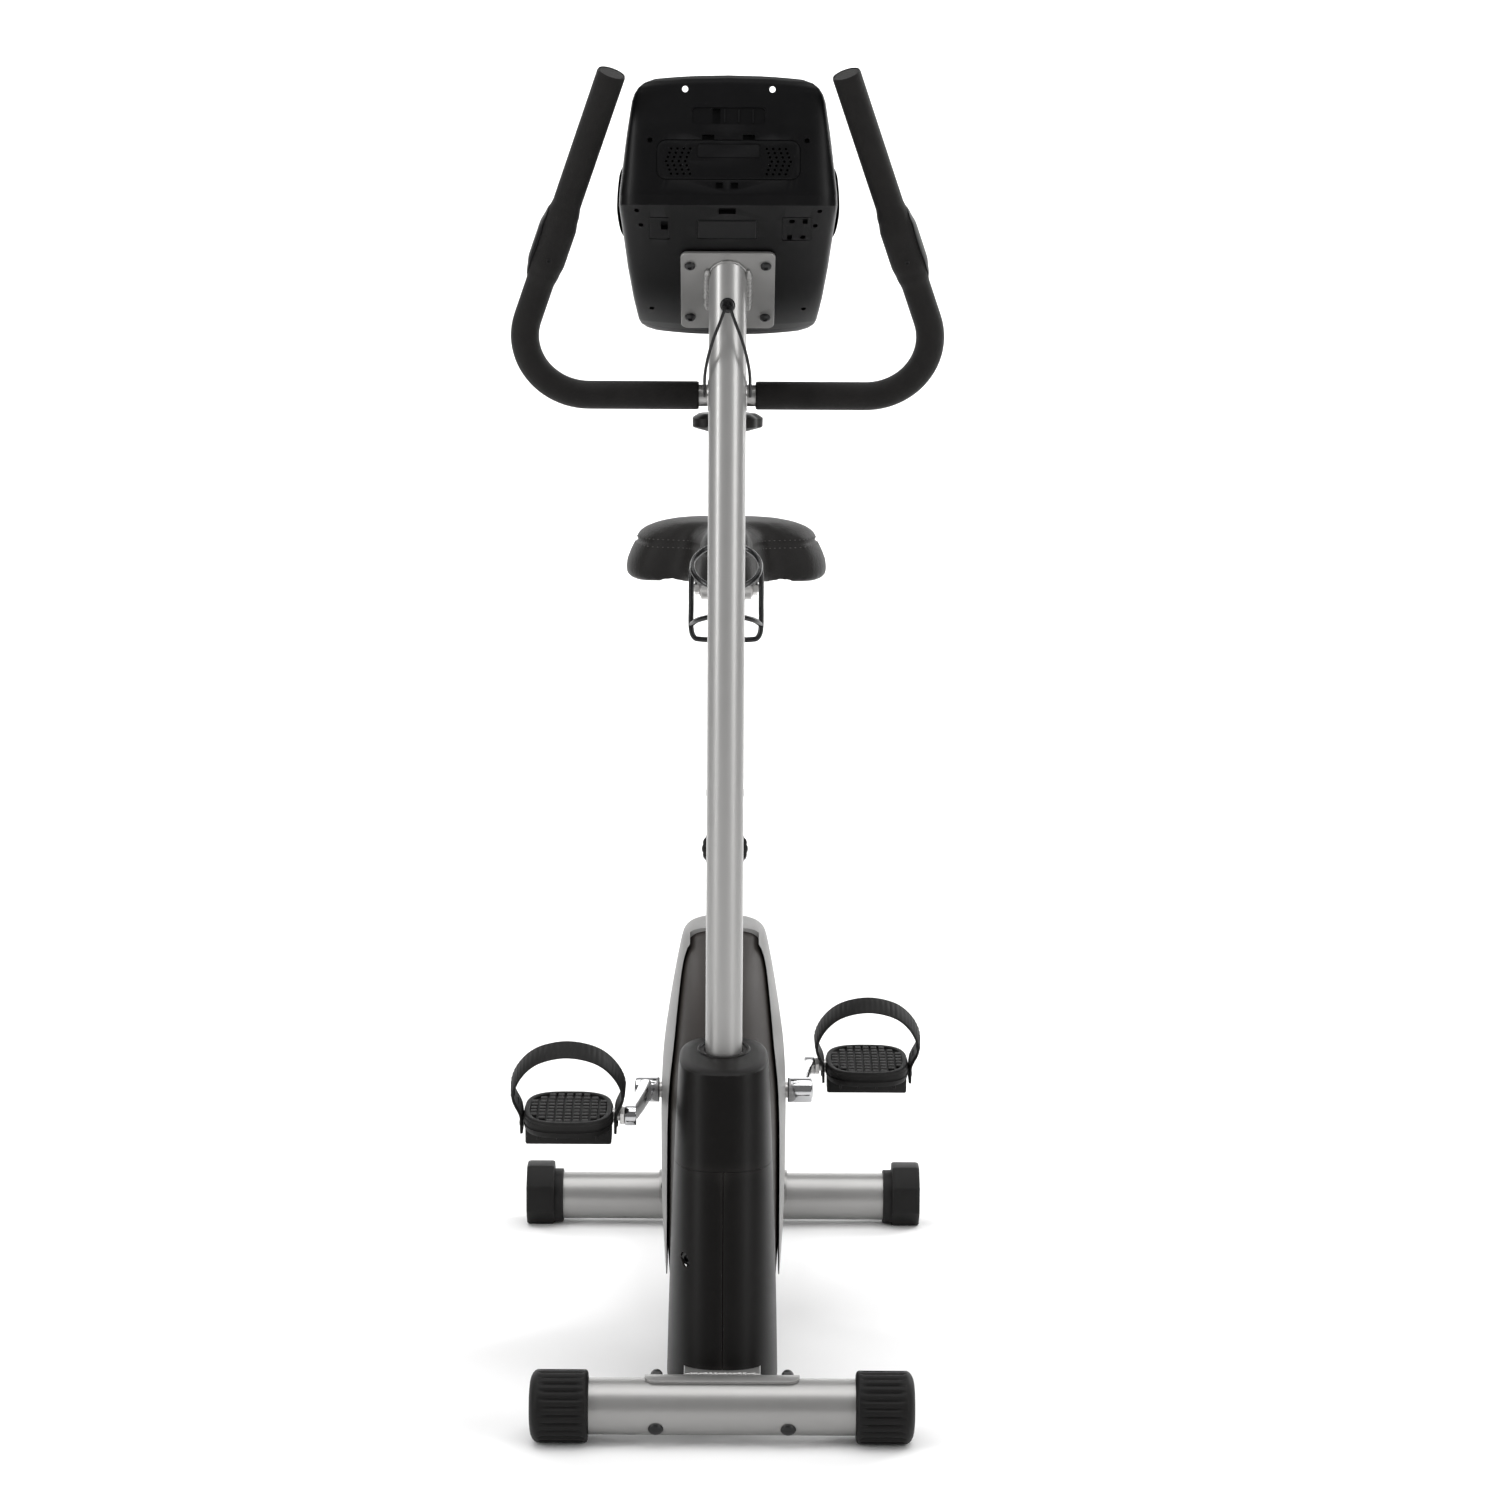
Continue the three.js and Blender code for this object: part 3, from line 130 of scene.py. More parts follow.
def placed(part, matrix):
    """A (verts, faces) pair moved by a matrix; mirrored parts keep their faces outward."""
    verts = [matrix @ Vector(v) for v in part[0]]
    if matrix.determinant() < 0:
        return verts, [tuple(reversed(face)) for face in part[1]]
    return verts, part[1]


def skin(rings, closed=False, caps=True):
    """A skin over a list of rings of equal length."""
    count = len(rings[0])
    verts = [Vector(p) for ring in rings for p in ring]
    faces = []
    spans = len(rings) if closed else len(rings) - 1
    for i in range(spans):
        a = i * count
        b = ((i + 1) % len(rings)) * count
        for j in range(count):
            k = (j + 1) % count
            faces.append((a + j, a + k, b + k, b + j))
    if caps and not closed:
        faces.append(tuple(reversed(range(count))))
        faces.append(tuple(range((len(rings) - 1) * count, len(rings) * count)))
    return verts, faces


def turned(profile, segments=48, wobble=None, closed=False):
    """A body turned about +Z from (z, radius) pairs, a ring if its profile is closed.

    Where wobble is given, wobble(angle, radius, z) is the radius instead.
    """
    rings = []
    for z, radius in profile:
        ring = []
        for i in range(segments):
            angle = 2 * math.pi * i / segments
            r = wobble(angle, radius, z) if wobble else radius
            ring.append(Vector((r * math.cos(angle), r * math.sin(angle), z)))
        rings.append(ring)
    return skin(rings, closed=closed)


def aim(origin, direction, twist=0.0):
    """The matrix that takes +Z at the origin to a direction at a place."""
    turn = Vector((0, 0, 1)).rotation_difference(Vector(direction).normalized())
    return Matrix.Translation(origin) @ turn.to_matrix().to_4x4() @ Matrix.Rotation(
        twist, 4, "Z")


def across(x, y, z, sign=1):
    """The matrix that takes +Z to the outward X direction of one side."""
    return aim((x, y, z), (sign, 0, 0))


def smooth_path(points, count):
    """Evenly spaced points on a Catmull-Rom curve through the given ones."""
    pts = [Vector(p) for p in points]
    ends = [pts[0] * 2 - pts[1], *pts, pts[-1] * 2 - pts[-2]]
    fine = []
    for i in range(len(pts) - 1):
        p0, p1, p2, p3 = ends[i:i + 4]
        for k in range(24):
            t = k / 24
            fine.append(0.5 * (
                p1 * 2 + (p2 - p0) * t + (p0 * 2 - p1 * 5 + p2 * 4 - p3) * t * t
                + (p1 * 3 - p0 - p2 * 3 + p3) * t ** 3))
    fine.append(pts[-1])
    return evenly(fine, count)


def evenly(path, count):
    """The same path with its points an equal distance apart."""
    lengths = [0.0]
    for a, b in zip(path, path[1:]):
        lengths.append(lengths[-1] + (b - a).length)
    result, i = [], 0
    for k in range(count):
        target = lengths[-1] * k / (count - 1)
        while i < len(path) - 2 and lengths[i + 1] < target:
            i += 1
        span = lengths[i + 1] - lengths[i]
        t = (target - lengths[i]) / span if span else 0.0
        result.append(path[i].lerp(path[i + 1], t))
    return result


def frames_along(path, up=(0, 0, 1)):
    """For each point of a path: the point and two square directions across it."""
    side = None
    result = []
    for i, point in enumerate(path):
        ahead = path[min(i + 1, len(path) - 1)] - path[max(i - 1, 0)]
        ahead.normalize()
        if side is None:
            side = ahead.cross(Vector(up))
            if side.length < 0.01:
                side = ahead.cross(Vector((1, 0, 0)))
        side = (side - ahead * side.dot(ahead)).normalized()
        result.append((point, side, ahead.cross(side)))
    return result


def swept(path, section, up=(0, 0, 1), caps=True):
    """A section swept along a path. The section is a function of the share of the way along."""
    rings = []
    stations = frames_along(path, up)
    for i, (point, side, rise) in enumerate(stations):
        share = i / (len(stations) - 1)
        rings.append([point + side * u + rise * v for u, v in section(share)])
    return skin(rings, caps=caps)


def circle(radius, sides, x=0.0, y=0.0):
    """The outline of a circle or of a regular polygon, anticlockwise."""
    turns = [2 * math.pi * i / sides for i in range(sides)]
    return [(x + radius * math.cos(a), y + radius * math.sin(a)) for a in turns]


def squared_circle(sides, power, direction=1):
    """A unit circle squared off by a power, as (x, y) pairs; direction -1 runs clockwise."""
    pairs = []
    for i in range(sides):
        a = direction * 2 * math.pi * i / sides
        u, v = math.cos(a), math.sin(a)
        pairs.append((math.copysign(abs(u) ** (2 / power), u),
                      math.copysign(abs(v) ** (2 / power), v)))
    return pairs


def round_section(radius, sides):
    """A round section of one radius."""
    outline = circle(radius, sides)
    return lambda share: outline


def wire_ring(loop, radius, sides):
    """A round wire along a loop whose last point repeats its first."""
    outline = circle(radius, sides)
    return skin([[p + side * u + rise * v for u, v in outline]
                 for p, side, rise in frames_along(loop)[:-1]], closed=True)


def tube(start, end, radius, sides=48, edge=0.0006):
    """A straight bar with slightly eased ends."""
    a, b = Vector(start), Vector(end)
    length = (b - a).length
    profile = [(0, radius - edge), (edge, radius), (length - edge, radius),
               (length, radius - edge)]
    return placed(turned(profile, sides), aim(a, b - a))


def pipe(start, end, radius, bore, sides=64, edge=0.0006):
    """A straight tube with an open bore."""
    a, b = Vector(start), Vector(end)
    n = (b - a).length
    loop = [(edge, radius), (n - edge, radius), (n, radius - edge), (n, bore + edge),
            (n - edge, bore), (edge, bore), (0, bore + edge), (0, radius - edge)]
    return placed(turned(loop, sides, closed=True), aim(a, b - a))


def block(low, high, ease=0.001):
    """A box with its edges eased by one small facet."""
    centre = (Vector(low) + Vector(high)) / 2
    size = Vector(high) - Vector(low)
    work = bmesh.new()
    bmesh.ops.create_cube(work, size=1.0)
    for vert in work.verts:
        vert.co = Vector((vert.co.x * size.x, vert.co.y * size.y, vert.co.z * size.z)) + centre
    if ease:
        bmesh.ops.bevel(
            work, geom=work.edges[:], offset=ease, segments=2, affect="EDGES", profile=0.5)
    return lift(work)


def lift(work):
    """The (verts, faces) of a bmesh, which is then freed."""
    work.verts.index_update()
    part = ([v.co.copy() for v in work.verts],
            [tuple(v.index for v in face.verts) for face in work.faces])
    work.free()
    return part


def prism(outline, low, high, ease=0.0):
    """An outline in X and Y given a height, with its upper and lower rims eased."""
    levels = [(low, 0.0), (high, 0.0)]
    if ease:
        levels = [(low, ease), (low + ease, 0.0), (high - ease, 0.0), (high, ease)]
    middle = sum((Vector((*p, 0)) for p in outline), Vector()) / len(outline)
    rings = []
    for z, inset in levels:
        ring = []
        for p in outline:
            out = Vector((*p, 0)) - middle
            shrunk = out * (1 - inset / max(out.length, 1e-6))
            ring.append(Vector((middle.x + shrunk.x, middle.y + shrunk.y, z)))
        rings.append(ring)
    return skin(rings)


def rounded_rect(width, height, radius, steps=5, x=0.0, y=0.0):
    """The outline of a rectangle with round corners, anticlockwise."""
    points = []
    corners = [(1, 1, 0), (-1, 1, 90), (-1, -1, 180), (1, -1, 270)]
    for sx, sy, start in corners:
        cx, cy = sx * (width / 2 - radius), sy * (height / 2 - radius)
        for i in range(steps + 1):
            angle = math.radians(start + 90 * i / steps)
            points.append((x + cx + radius * math.cos(angle), y + cy + radius * math.sin(angle)))
    return points


def evaluated(helper):
    """The mesh of a helper object with its modifiers applied."""
    return bpy.data.meshes.new_from_object(
        helper.evaluated_get(bpy.context.evaluated_depsgraph_get()))


def carve(part, operation, *tools):
    """Boolean of one closed (verts, faces) pair with others, as a mesh."""
    base = loose_object("carve_base", part)
    for tool in tools:
        cutter = loose_object("carve_tool", tool)
        step = base.modifiers.new("cut", "BOOLEAN")
        step.operation = operation
        step.object = cutter
        step.solver = "EXACT"
        shape = evaluated(base)
        base.modifiers.clear()
        base.data = shape
        bpy.data.objects.remove(cutter)
    mesh = base.data
    bpy.data.objects.remove(base)
    return mesh_part(mesh)


def loose_object(name, part):
    """A plain helper object, outward facing, linked so that modifiers can be evaluated."""
    mesh = bpy.data.meshes.new(name)
    mesh.from_pydata([tuple(v) for v in part[0]], [], part[1])
    work = cleaned(mesh, 1e-7)
    work.to_mesh(mesh)
    work.free()
    helper = bpy.data.objects.new(name, mesh)
    bpy.context.scene.collection.objects.link(helper)
    bpy.context.view_layer.update()
    return helper


def mesh_part(mesh):
    """The (verts, faces) of a mesh."""
    return [v.co.copy() for v in mesh.vertices], [tuple(p.vertices) for p in mesh.polygons]


def subdivided(part):
    """A part after one level of Catmull-Clark subdivision."""
    helper = loose_object("subdivide", part)
    helper.modifiers.new("subdivide", "SUBSURF").levels = 1
    shape = evaluated(helper)
    bpy.data.objects.remove(helper)
    return mesh_part(shape)


# ------------------------------------------------------------------ materials

def node(tree, kind, **values):
    """A shader node with its settings and its sockets' constants."""
    made = tree.nodes.new(kind)
    for key, value in values.items():
        if hasattr(made, key):
            setattr(made, key, value)
        else:
            made.inputs[key.replace("_", " ")].default_value = value
    return made


def ramp(tree, factor, low, high, start=0.3, end=0.7):
    """A colour ramp between two colours, fed by a factor."""
    made = tree.nodes.new("ShaderNodeValToRGB")
    made.color_ramp.elements[0].position = start
    made.color_ramp.elements[1].position = end
    made.color_ramp.elements[0].color = (*low, 1)
    made.color_ramp.elements[1].color = (*high, 1)
    tree.links.new(factor, made.inputs["Fac"])
    return made.outputs["Color"]


def finish(name, low, high, rough, metallic=0.0, mottle=14.0, grain=900.0, bump=0.15,
           reach=0.0002, cells=False, stretch=(1, 1, 1), edge_highlight=None, waves=None, **sockets):
    """A procedural finish.

    The colour wanders from low to high in patches of 1/mottle metres and the roughness with it.
    The bump is grain of 1/grain metres, or pits and pores where cells is true. The edge colour
    is a lighter painted highlight laid on convex edges, and waves adds a slower swell to the
    surface.
    """
    material = bpy.data.materials.new(name)
    material.use_nodes = True
    tree = material.node_tree
    link = tree.links.new
    surface = tree.nodes["Principled BSDF"]
    surface.inputs["Metallic"].default_value = metallic
    for socket, value in sockets.items():
        surface.inputs[socket.replace("_", " ")].default_value = value
    place = node(tree, "ShaderNodeTexCoord").outputs["Object"]
    mapping = node(tree, "ShaderNodeMapping", Scale=stretch)
    link(place, mapping.inputs["Vector"])
    patches = node(tree, "ShaderNodeTexNoise", Scale=mottle, Detail=6.0, Roughness=0.6)
    link(place, patches.inputs["Vector"])
    colour = ramp(tree, patches.outputs["Fac"], low, high)
    # Painted highlight: convex edges, found by their pointiness, get a lighter colour.
    if edge_highlight:
        edge = node(tree, "ShaderNodeNewGeometry").outputs["Pointiness"]
        highlight_mask = ramp(tree, edge, (0, 0, 0), (1, 1, 1), 0.53, 0.62)
        mix = node(tree, "ShaderNodeMix", data_type="RGBA")
        link(highlight_mask, mix.inputs[0])
        link(colour, mix.inputs[6])
        mix.inputs[7].default_value = (*edge_highlight, 1)
        colour = mix.outputs[2]
    link(colour, surface.inputs["Base Color"])
    spread = node(tree, "ShaderNodeMapRange")
    spread.inputs["To Min"].default_value = rough[0]
    spread.inputs["To Max"].default_value = rough[1]
    smudges = node(tree, "ShaderNodeTexNoise", Scale=mottle * 4, Detail=8.0, Roughness=0.7)
    link(mapping.outputs["Vector"], smudges.inputs["Vector"])
    link(smudges.outputs["Fac"], spread.inputs["Value"])
    link(spread.outputs["Result"], surface.inputs["Roughness"])
    kind = "ShaderNodeTexVoronoi" if cells else "ShaderNodeTexNoise"
    fine = node(tree, kind, Scale=grain)
    link(mapping.outputs["Vector"], fine.inputs["Vector"])
    height = fine.outputs["Distance" if cells else "Fac"]
    relief = node(tree, "ShaderNodeBump", Strength=bump, Distance=reach)
    link(height, relief.inputs["Height"])
    if waves:
        swell = node(tree, "ShaderNodeTexNoise", Scale=waves[0], Detail=2.0)
        link(place, swell.inputs["Vector"])
        slow = node(tree, "ShaderNodeBump", Strength=waves[1], Distance=0.001)
        link(swell.outputs["Fac"], slow.inputs["Height"])
        link(slow.outputs["Normal"], relief.inputs["Normal"])
    link(relief.outputs["Normal"], surface.inputs["Normal"])
    return material


# Each edge colour given below is a painted highlight on the convex edges, not real wear.
SILVER = finish(
    "silver_paint", (0.238, 0.235, 0.230), (0.275, 0.271, 0.266), (0.34, 0.43), metallic=0.68,
    grain=2600, bump=0.08, waves=(60, 0.03), edge_highlight=(0.37, 0.366, 0.36), Coat_Weight=0.2,
    Coat_Roughness=0.15)
SILVER_PLASTIC = finish(
    "silver_plastic", (0.205, 0.202, 0.198), (0.235, 0.232, 0.228), (0.42, 0.52),
    metallic=0.25, grain=2200, bump=0.12, waves=(30, 0.03), edge_highlight=(0.28, 0.276, 0.27),
    Specular_IOR_Level=0.2)
SHROUD = finish(
    "shroud_plastic", (0.0040, 0.0036, 0.0034), (0.0057, 0.0051, 0.0048), (0.36, 0.46),
    grain=1500, bump=0.28, waves=(22, 0.06), edge_highlight=(0.014, 0.013, 0.012),
    Specular_IOR_Level=0.15)
PANEL_FACE = finish(
    "housing_face", (0.024, 0.020, 0.018), (0.032, 0.027, 0.024), (0.44, 0.56), grain=1300,
    bump=0.3, waves=(18, 0.05), Specular_IOR_Level=0.25)
CONSOLE = finish(
    "console_plastic", (0.0022, 0.0022, 0.0024), (0.0036, 0.0035, 0.0038), (0.32, 0.42),
    grain=1700, bump=0.32, edge_highlight=(0.016, 0.016, 0.0165), Specular_IOR_Level=0.14)
BLACK_PAINT = finish(
    "black_paint", (0.006, 0.006, 0.0065), (0.009, 0.009, 0.0095), (0.28, 0.38), grain=1100,
    bump=0.12, waves=(120, 0.08), edge_highlight=(0.03, 0.03, 0.03), Specular_IOR_Level=0.3)
GLOSS = finish(
    "black_gloss", (0.0045, 0.0045, 0.005), (0.007, 0.007, 0.0075), (0.16, 0.26), grain=1500,
    bump=0.08, waves=(70, 0.06), edge_highlight=(0.02, 0.02, 0.02), Specular_IOR_Level=0.4)
FOAM = finish(
    "foam_grip", (0.0042, 0.0037, 0.0035), (0.0072, 0.0064, 0.0060), (0.55, 0.70), mottle=40,
    grain=1150, bump=0.50, reach=0.0005, cells=True, waves=(90, 0.2), Sheen_Weight=0.06,
    Sheen_Roughness=0.5, Specular_IOR_Level=0.16)
CHROME = finish(
    "chrome", (0.52, 0.52, 0.53), (0.60, 0.60, 0.61), (0.07, 0.14), metallic=1.0, grain=1900,
    bump=0.02, waves=(35, 0.02))
ZINC = finish(
    "zinc", (0.36, 0.355, 0.35), (0.47, 0.465, 0.455), (0.28, 0.42), metallic=0.95,
    mottle=60, grain=1400, bump=0.10, edge_highlight=(0.58, 0.57, 0.56))
IRON = finish(
    "cast_iron", (0.055, 0.055, 0.058), (0.095, 0.094, 0.096), (0.5, 0.68), metallic=0.8,
    mottle=50, grain=700, bump=0.5, reach=0.0006, edge_highlight=(0.16, 0.16, 0.16))
RUBBER = finish(
    "moulded_rubber", (0.0052, 0.0050, 0.0050), (0.0085, 0.0082, 0.0080), (0.48, 0.62),
    grain=1200, bump=0.3, waves=(50, 0.05), edge_highlight=(0.018, 0.0175, 0.017),
    Specular_IOR_Level=0.16)
BELT = finish(
    "belt_rubber", (0.010, 0.010, 0.010), (0.016, 0.016, 0.016), (0.62, 0.78), grain=900,
    bump=0.3, stretch=(6, 1, 1))
SENSOR = finish(
    "sensor_steel", (0.40, 0.40, 0.41), (0.52, 0.52, 0.53), (0.20, 0.32), metallic=1.0,
    mottle=80, grain=2200, bump=0.12, stretch=(1, 1, 0.08))
SHEATH = finish(
    "cable_sheath", (0.0045, 0.0045, 0.005), (0.007, 0.007, 0.0075), (0.34, 0.46), grain=1600,
    bump=0.15, Specular_IOR_Level=0.35)
GLASS = finish(
    "display_glass", (0.020, 0.026, 0.024), (0.028, 0.035, 0.032), (0.06, 0.11), grain=300,
    bump=0.01, Coat_Weight=0.6, Coat_Roughness=0.04)
SYMBOL = finish(
    "key_symbol", (0.55, 0.55, 0.54), (0.62, 0.62, 0.61), (0.4, 0.5), grain=1500, bump=0.05)


def leather(name, low, high):
    """Stretched vinyl: a pebbled grain in cells with fine creases running through it."""
    # The lighter edge colour is a painted highlight on the saddle's convex edges.
    material = finish(
        name, low, high, (0.46, 0.62), mottle=24, grain=520, bump=0.42, reach=0.0006,
        cells=True, waves=(75, 0.16), edge_highlight=tuple(1.6 * c for c in high), Sheen_Weight=0.05,
        Sheen_Roughness=0.4, Specular_IOR_Level=0.2)
    tree = material.node_tree
    cells = next(n for n in tree.nodes if n.type == "TEX_VORONOI")
    cells.feature = "SMOOTH_F1"
    cells.inputs["Smoothness"].default_value = 0.35
    return material


VINYL = leather("saddle_vinyl", (0.0052, 0.0046, 0.0042), (0.0088, 0.0078, 0.0072))

SLOT_MATERIALS = {
    "silver_paint": SILVER, "shroud_plastic": SHROUD, "console_plastic": CONSOLE,
    "black_paint": BLACK_PAINT, "black_gloss_plastic": GLOSS, "foam_grip": FOAM,
    "chrome_steel": CHROME, "zinc_steel": ZINC, "cast_iron": IRON, "moulded_rubber": RUBBER,
    "belt_rubber": BELT, "saddle_vinyl": VINYL, "sensor_steel": SENSOR,
    "cable_sheath": SHEATH, "display_glass": GLASS,
}


def paint_cad_nodes():
    """Every node carried over from the CAD model gets the fine finish of its slot."""
    slots = {entry["node"]: entry["material_slot"] for entry in frame["record"]["subparts"]}
    for name, part in frame["nodes"].items():
        part.data.materials.clear()
        part.data.materials.append(SLOT_MATERIALS[slots[name]])


# ------------------------------------------------------------------ pulse leads

MAST_BEHIND = 167
MAST_Y = behind(MAST_BEHIND)
MAST_RADIUS = 0.019
BAR_Y, BAR_Z = behind(215), 1.034
BAR_RADIUS = 0.0111
LEAD_RADIUS = 0.0016


def lead_route(sign):
    """The centre line of one pulse lead, from the mast's grommet down to the handlebar."""
    exit_y = MAST_Y - MAST_RADIUS
    bar_front = BAR_Y - BAR_RADIUS
    route = [
        (2.2, exit_y + 0.002, 1127), (2.8, exit_y - 0.005, 1124), (7, exit_y - 0.010, 1112),
        (14, exit_y - 0.011, 1094), (19.5, exit_y - 0.005, 1075), (22.5, exit_y + 0.010, 1058),
        (23, exit_y + 0.032, 1045), (23, bar_front - 0.010, 1037),
        (23, bar_front - 0.0003, 1034)]
    return smooth_path([(sign * x * MM, y, z * MM) for x, y, z in route], 32)


def path_length(path):
    return sum((b - a).length for a, b in zip(path, path[1:]))


def add_leads():
    for name, sign in SIDES.items():
        path = lead_route(sign)
        lead = new_piece(
            f"lead_{name}", *swept(path, round_section(LEAD_RADIUS, 16)), SHEATH, "frame",
            "cable_sheath", [f"pulse_lead_{name}"])


add_leads()


# ------------------------------------------------------------------ rail and stabilisers

TUBE_RADIUS = 0.0282
ROLLER_RADIUS = 0.03625
REAR_TUBE_Z = 0.03285
FRONT_HALF, REAR_HALF = 0.1925, 0.2375
ROLLER_WIDTH = 0.0585
RAIL_HALF, RAIL_LOW, RAIL_HIGH, RAIL_OVERHANG = 0.038, 0.042, 0.074, 0.012
NOSE_STEP_Y, NOSE_STEP_Z = behind(66), 0.0612
PLATE_HALF, PLATE_GAP, PLATE_THICK = 0.0775, 0.0285, 0.003
BOLT_X, BOLT_ANGLE = 0.066, math.radians(35)
FLYWHEEL_Y = behind(284)
FORK_TOP = 0.190
TUBE_BORE = 0.0262
HEXAGON_NUT = 0.0078
# The end's name, its tube's Y and Z, and which way its plate faces.
ENDS = (("front", FRONT_Y, ROLLER_RADIUS, 1), ("rear", REAR_Y, REAR_TUBE_Z, -1))


def weld(path, radius, seed, pitch=0.0045):
    """A weld bead: overlapping coins of metal laid along a path, never quite even."""
    draw = random.Random(seed)
    count = max(8, int(path_length(path) / pitch) * 4)
    path = evenly(path, count)
    swell = [draw.uniform(0.85, 1.12) for _ in range(count // 4 + 2)]

    def section(share):
        step = share * (count - 1)
        coin = swell[int(step / 4)] * (0.80 + 0.22 * abs(math.sin(math.pi * step / 4)))
        ends = min(1.0, 6 * min(share, 1 - share) + 0.45)
        size = radius * coin * ends
        return [(size * math.cos(a * math.pi / 5), size * math.sin(a * math.pi / 5))
                for a in range(10)]

    return swept(path, section)


def saddle_plate(tube_y, tube_z, facing):
    """A bent plate welded on the rail's end, which lies over the stabiliser tube."""
    inner, outer = PLATE_GAP, PLATE_GAP + PLATE_THICK
    steps = 28
    angles = [math.radians(-12 + 124 * i / steps) for i in range(steps + 1)]
    loop = [(outer, a) for a in angles] + [(inner, a) for a in reversed(angles)]
    rings = []
    corner = 0.010
    stations = [-PLATE_HALF + corner * s for s in (0, 0.1, 0.3, 0.6, 1)]
    stations += [-x for x in reversed(stations)]
    for x in stations:
        short = corner - math.sqrt(max(0.0, corner ** 2 - max(
            0.0, abs(x) - PLATE_HALF + corner) ** 2))
        trim = short / outer
        ring = []
        for r, a in loop:
            a = min(max(a, angles[0] + trim), angles[-1] - trim)
            ring.append(Vector((x, tube_y + facing * r * math.cos(a),
                                tube_z + r * math.sin(a))))
        rings.append(ring)
    return skin(rings)


def fork_plates():
    """The upright plates that carry the flywheel's axle, on a foot across the rail."""
    y0, y1 = FLYWHEEL_Y - 0.022, FLYWHEEL_Y + 0.022
    return joined(
        block((-0.047, y0, RAIL_HIGH), (-0.043, y1, FORK_TOP)),
        block((0.0468, y0, RAIL_HIGH), (0.050, y1, FORK_TOP)),
        block((-0.047, y0, RAIL_HIGH + 0.0002), (0.050, y1, RAIL_HIGH + 0.003)))


def add_rail():
    outline = rounded_rect(2 * RAIL_HALF, RAIL_HIGH - RAIL_LOW, 0.005)
    start, end = FRONT_Y - RAIL_OVERHANG, REAR_Y + RAIL_OVERHANG
    level = (RAIL_LOW + RAIL_HIGH) / 2
    bar = placed(prism(outline, 0, end - start), aim((0, start, level), (0, 1, 0)))
    hollow = block((-0.0355, NOSE_STEP_Y + 0.01, 0.0445), (0.0355, end + 0.01, 0.0715), 0)
    seat = PLATE_GAP + PLATE_THICK / 2
    notches = [
        placed(turned([(-0.1, seat), (0.1, seat)], 96), aim((0, y, z), (1, 0, 0)))
        for _, y, z, _ in ENDS]
    step = block((-0.1, start - 0.01, NOSE_STEP_Z), (0.1, NOSE_STEP_Y, 0.1), 0)
    rail = carve(bar, "DIFFERENCE", hollow, *notches, step)
    plates = [saddle_plate(y, z, facing) for _, y, z, facing in ENDS]
    beads = []
    for number, (_, y, z, facing) in enumerate(ENDS):
        top = z + PLATE_GAP + PLATE_THICK
        beads.append(weld([
            Vector((x * RAIL_HALF / 8, y + facing * 0.0115, top - 0.0022))
            for x in range(-8, 9)], 0.0026, 10 + number))
        for sign in (-1, 1):
            beads.append(weld([
                Vector((sign * RAIL_HALF, y + facing * along, top - down)) for along, down in (
                    (0.0120, 0.004), (0.0200, 0.0085), (0.0262, 0.0155), (0.0300, 0.0225))],
                0.0026, 20 + number))
    new_piece(
        "rail", *joined(rail, *plates, fork_plates(), *beads), SILVER, "frame",
        "silver_paint", ["base_rail"], 32)


def add_stabilizers():
    end = FRONT_HALF - ROLLER_WIDTH - 0.0003
    front = pipe((-end, FRONT_Y, ROLLER_RADIUS), (end, FRONT_Y, ROLLER_RADIUS),
                 TUBE_RADIUS, TUBE_BORE)
    plug = turned([(-0.012, 0.0259), (0, 0.0259), (0.0001, 0.006), (0.052, 0.006)], 40)
    plugs = [placed(plug, across(sign * end, FRONT_Y, ROLLER_RADIUS, sign))
             for sign in (-1, 1)]
    new_piece("front_tube", *joined(front, *plugs), SILVER, "frame", "silver_paint",
              ["front_stabilizer"])
    reach = REAR_HALF - 0.007
    rear = pipe((-reach, REAR_Y, REAR_TUBE_Z), (reach, REAR_Y, REAR_TUBE_Z),
                TUBE_RADIUS, TUBE_BORE)
    new_piece("rear_tube", *rear, SILVER, "frame", "silver_paint", ["rear_stabilizer"])


def stabilizer_bolt(x, y, z, facing):
    """A carriage bolt: a domed head under the tube, and a washer and acorn nut above."""
    direction = (0, facing * math.cos(BOLT_ANGLE), math.sin(BOLT_ANGLE))
    seat = TUBE_RADIUS + PLATE_THICK + 0.0012
    head = turned([(-TUBE_RADIUS - out, radius) for out, radius in (
        (0.0043, 0.0012), (0.0039, 0.0038), (0.0028, 0.0062), (0.0012, 0.0076),
        (0.0004, 0.0078))], 36)
    shank = turned([(-TUBE_RADIUS - 0.0005, 0.004), (seat + 0.004, 0.004)], 24)
    washer = turned([(seat - 0.0004, 0.0092), (seat + 0.0009, 0.0092)], 36)
    nut = prism(circle(HEXAGON_NUT, 6), seat + 0.0009, seat + 0.0062, 0.0006)
    dome = turned([(seat + out, radius) for out, radius in (
        (0.0055, 0.0064), (0.0085, 0.0060), (0.0108, 0.0046), (0.0120, 0.0026),
        (0.0124, 0.0006))], 32)
    return placed(joined(head, shank, washer, nut, dome), aim((x, y, z), direction))


def add_bolts():
    for name, sign in SIDES.items():
        for end, y, z, facing in ENDS:
            new_piece(
                f"{end}_bolt_and_nut_{name}", *stabilizer_bolt(sign * BOLT_X, y, z, facing),
                BLACK_PAINT, "frame", "black_paint", [f"{end}_bolt_{name}"], 30)


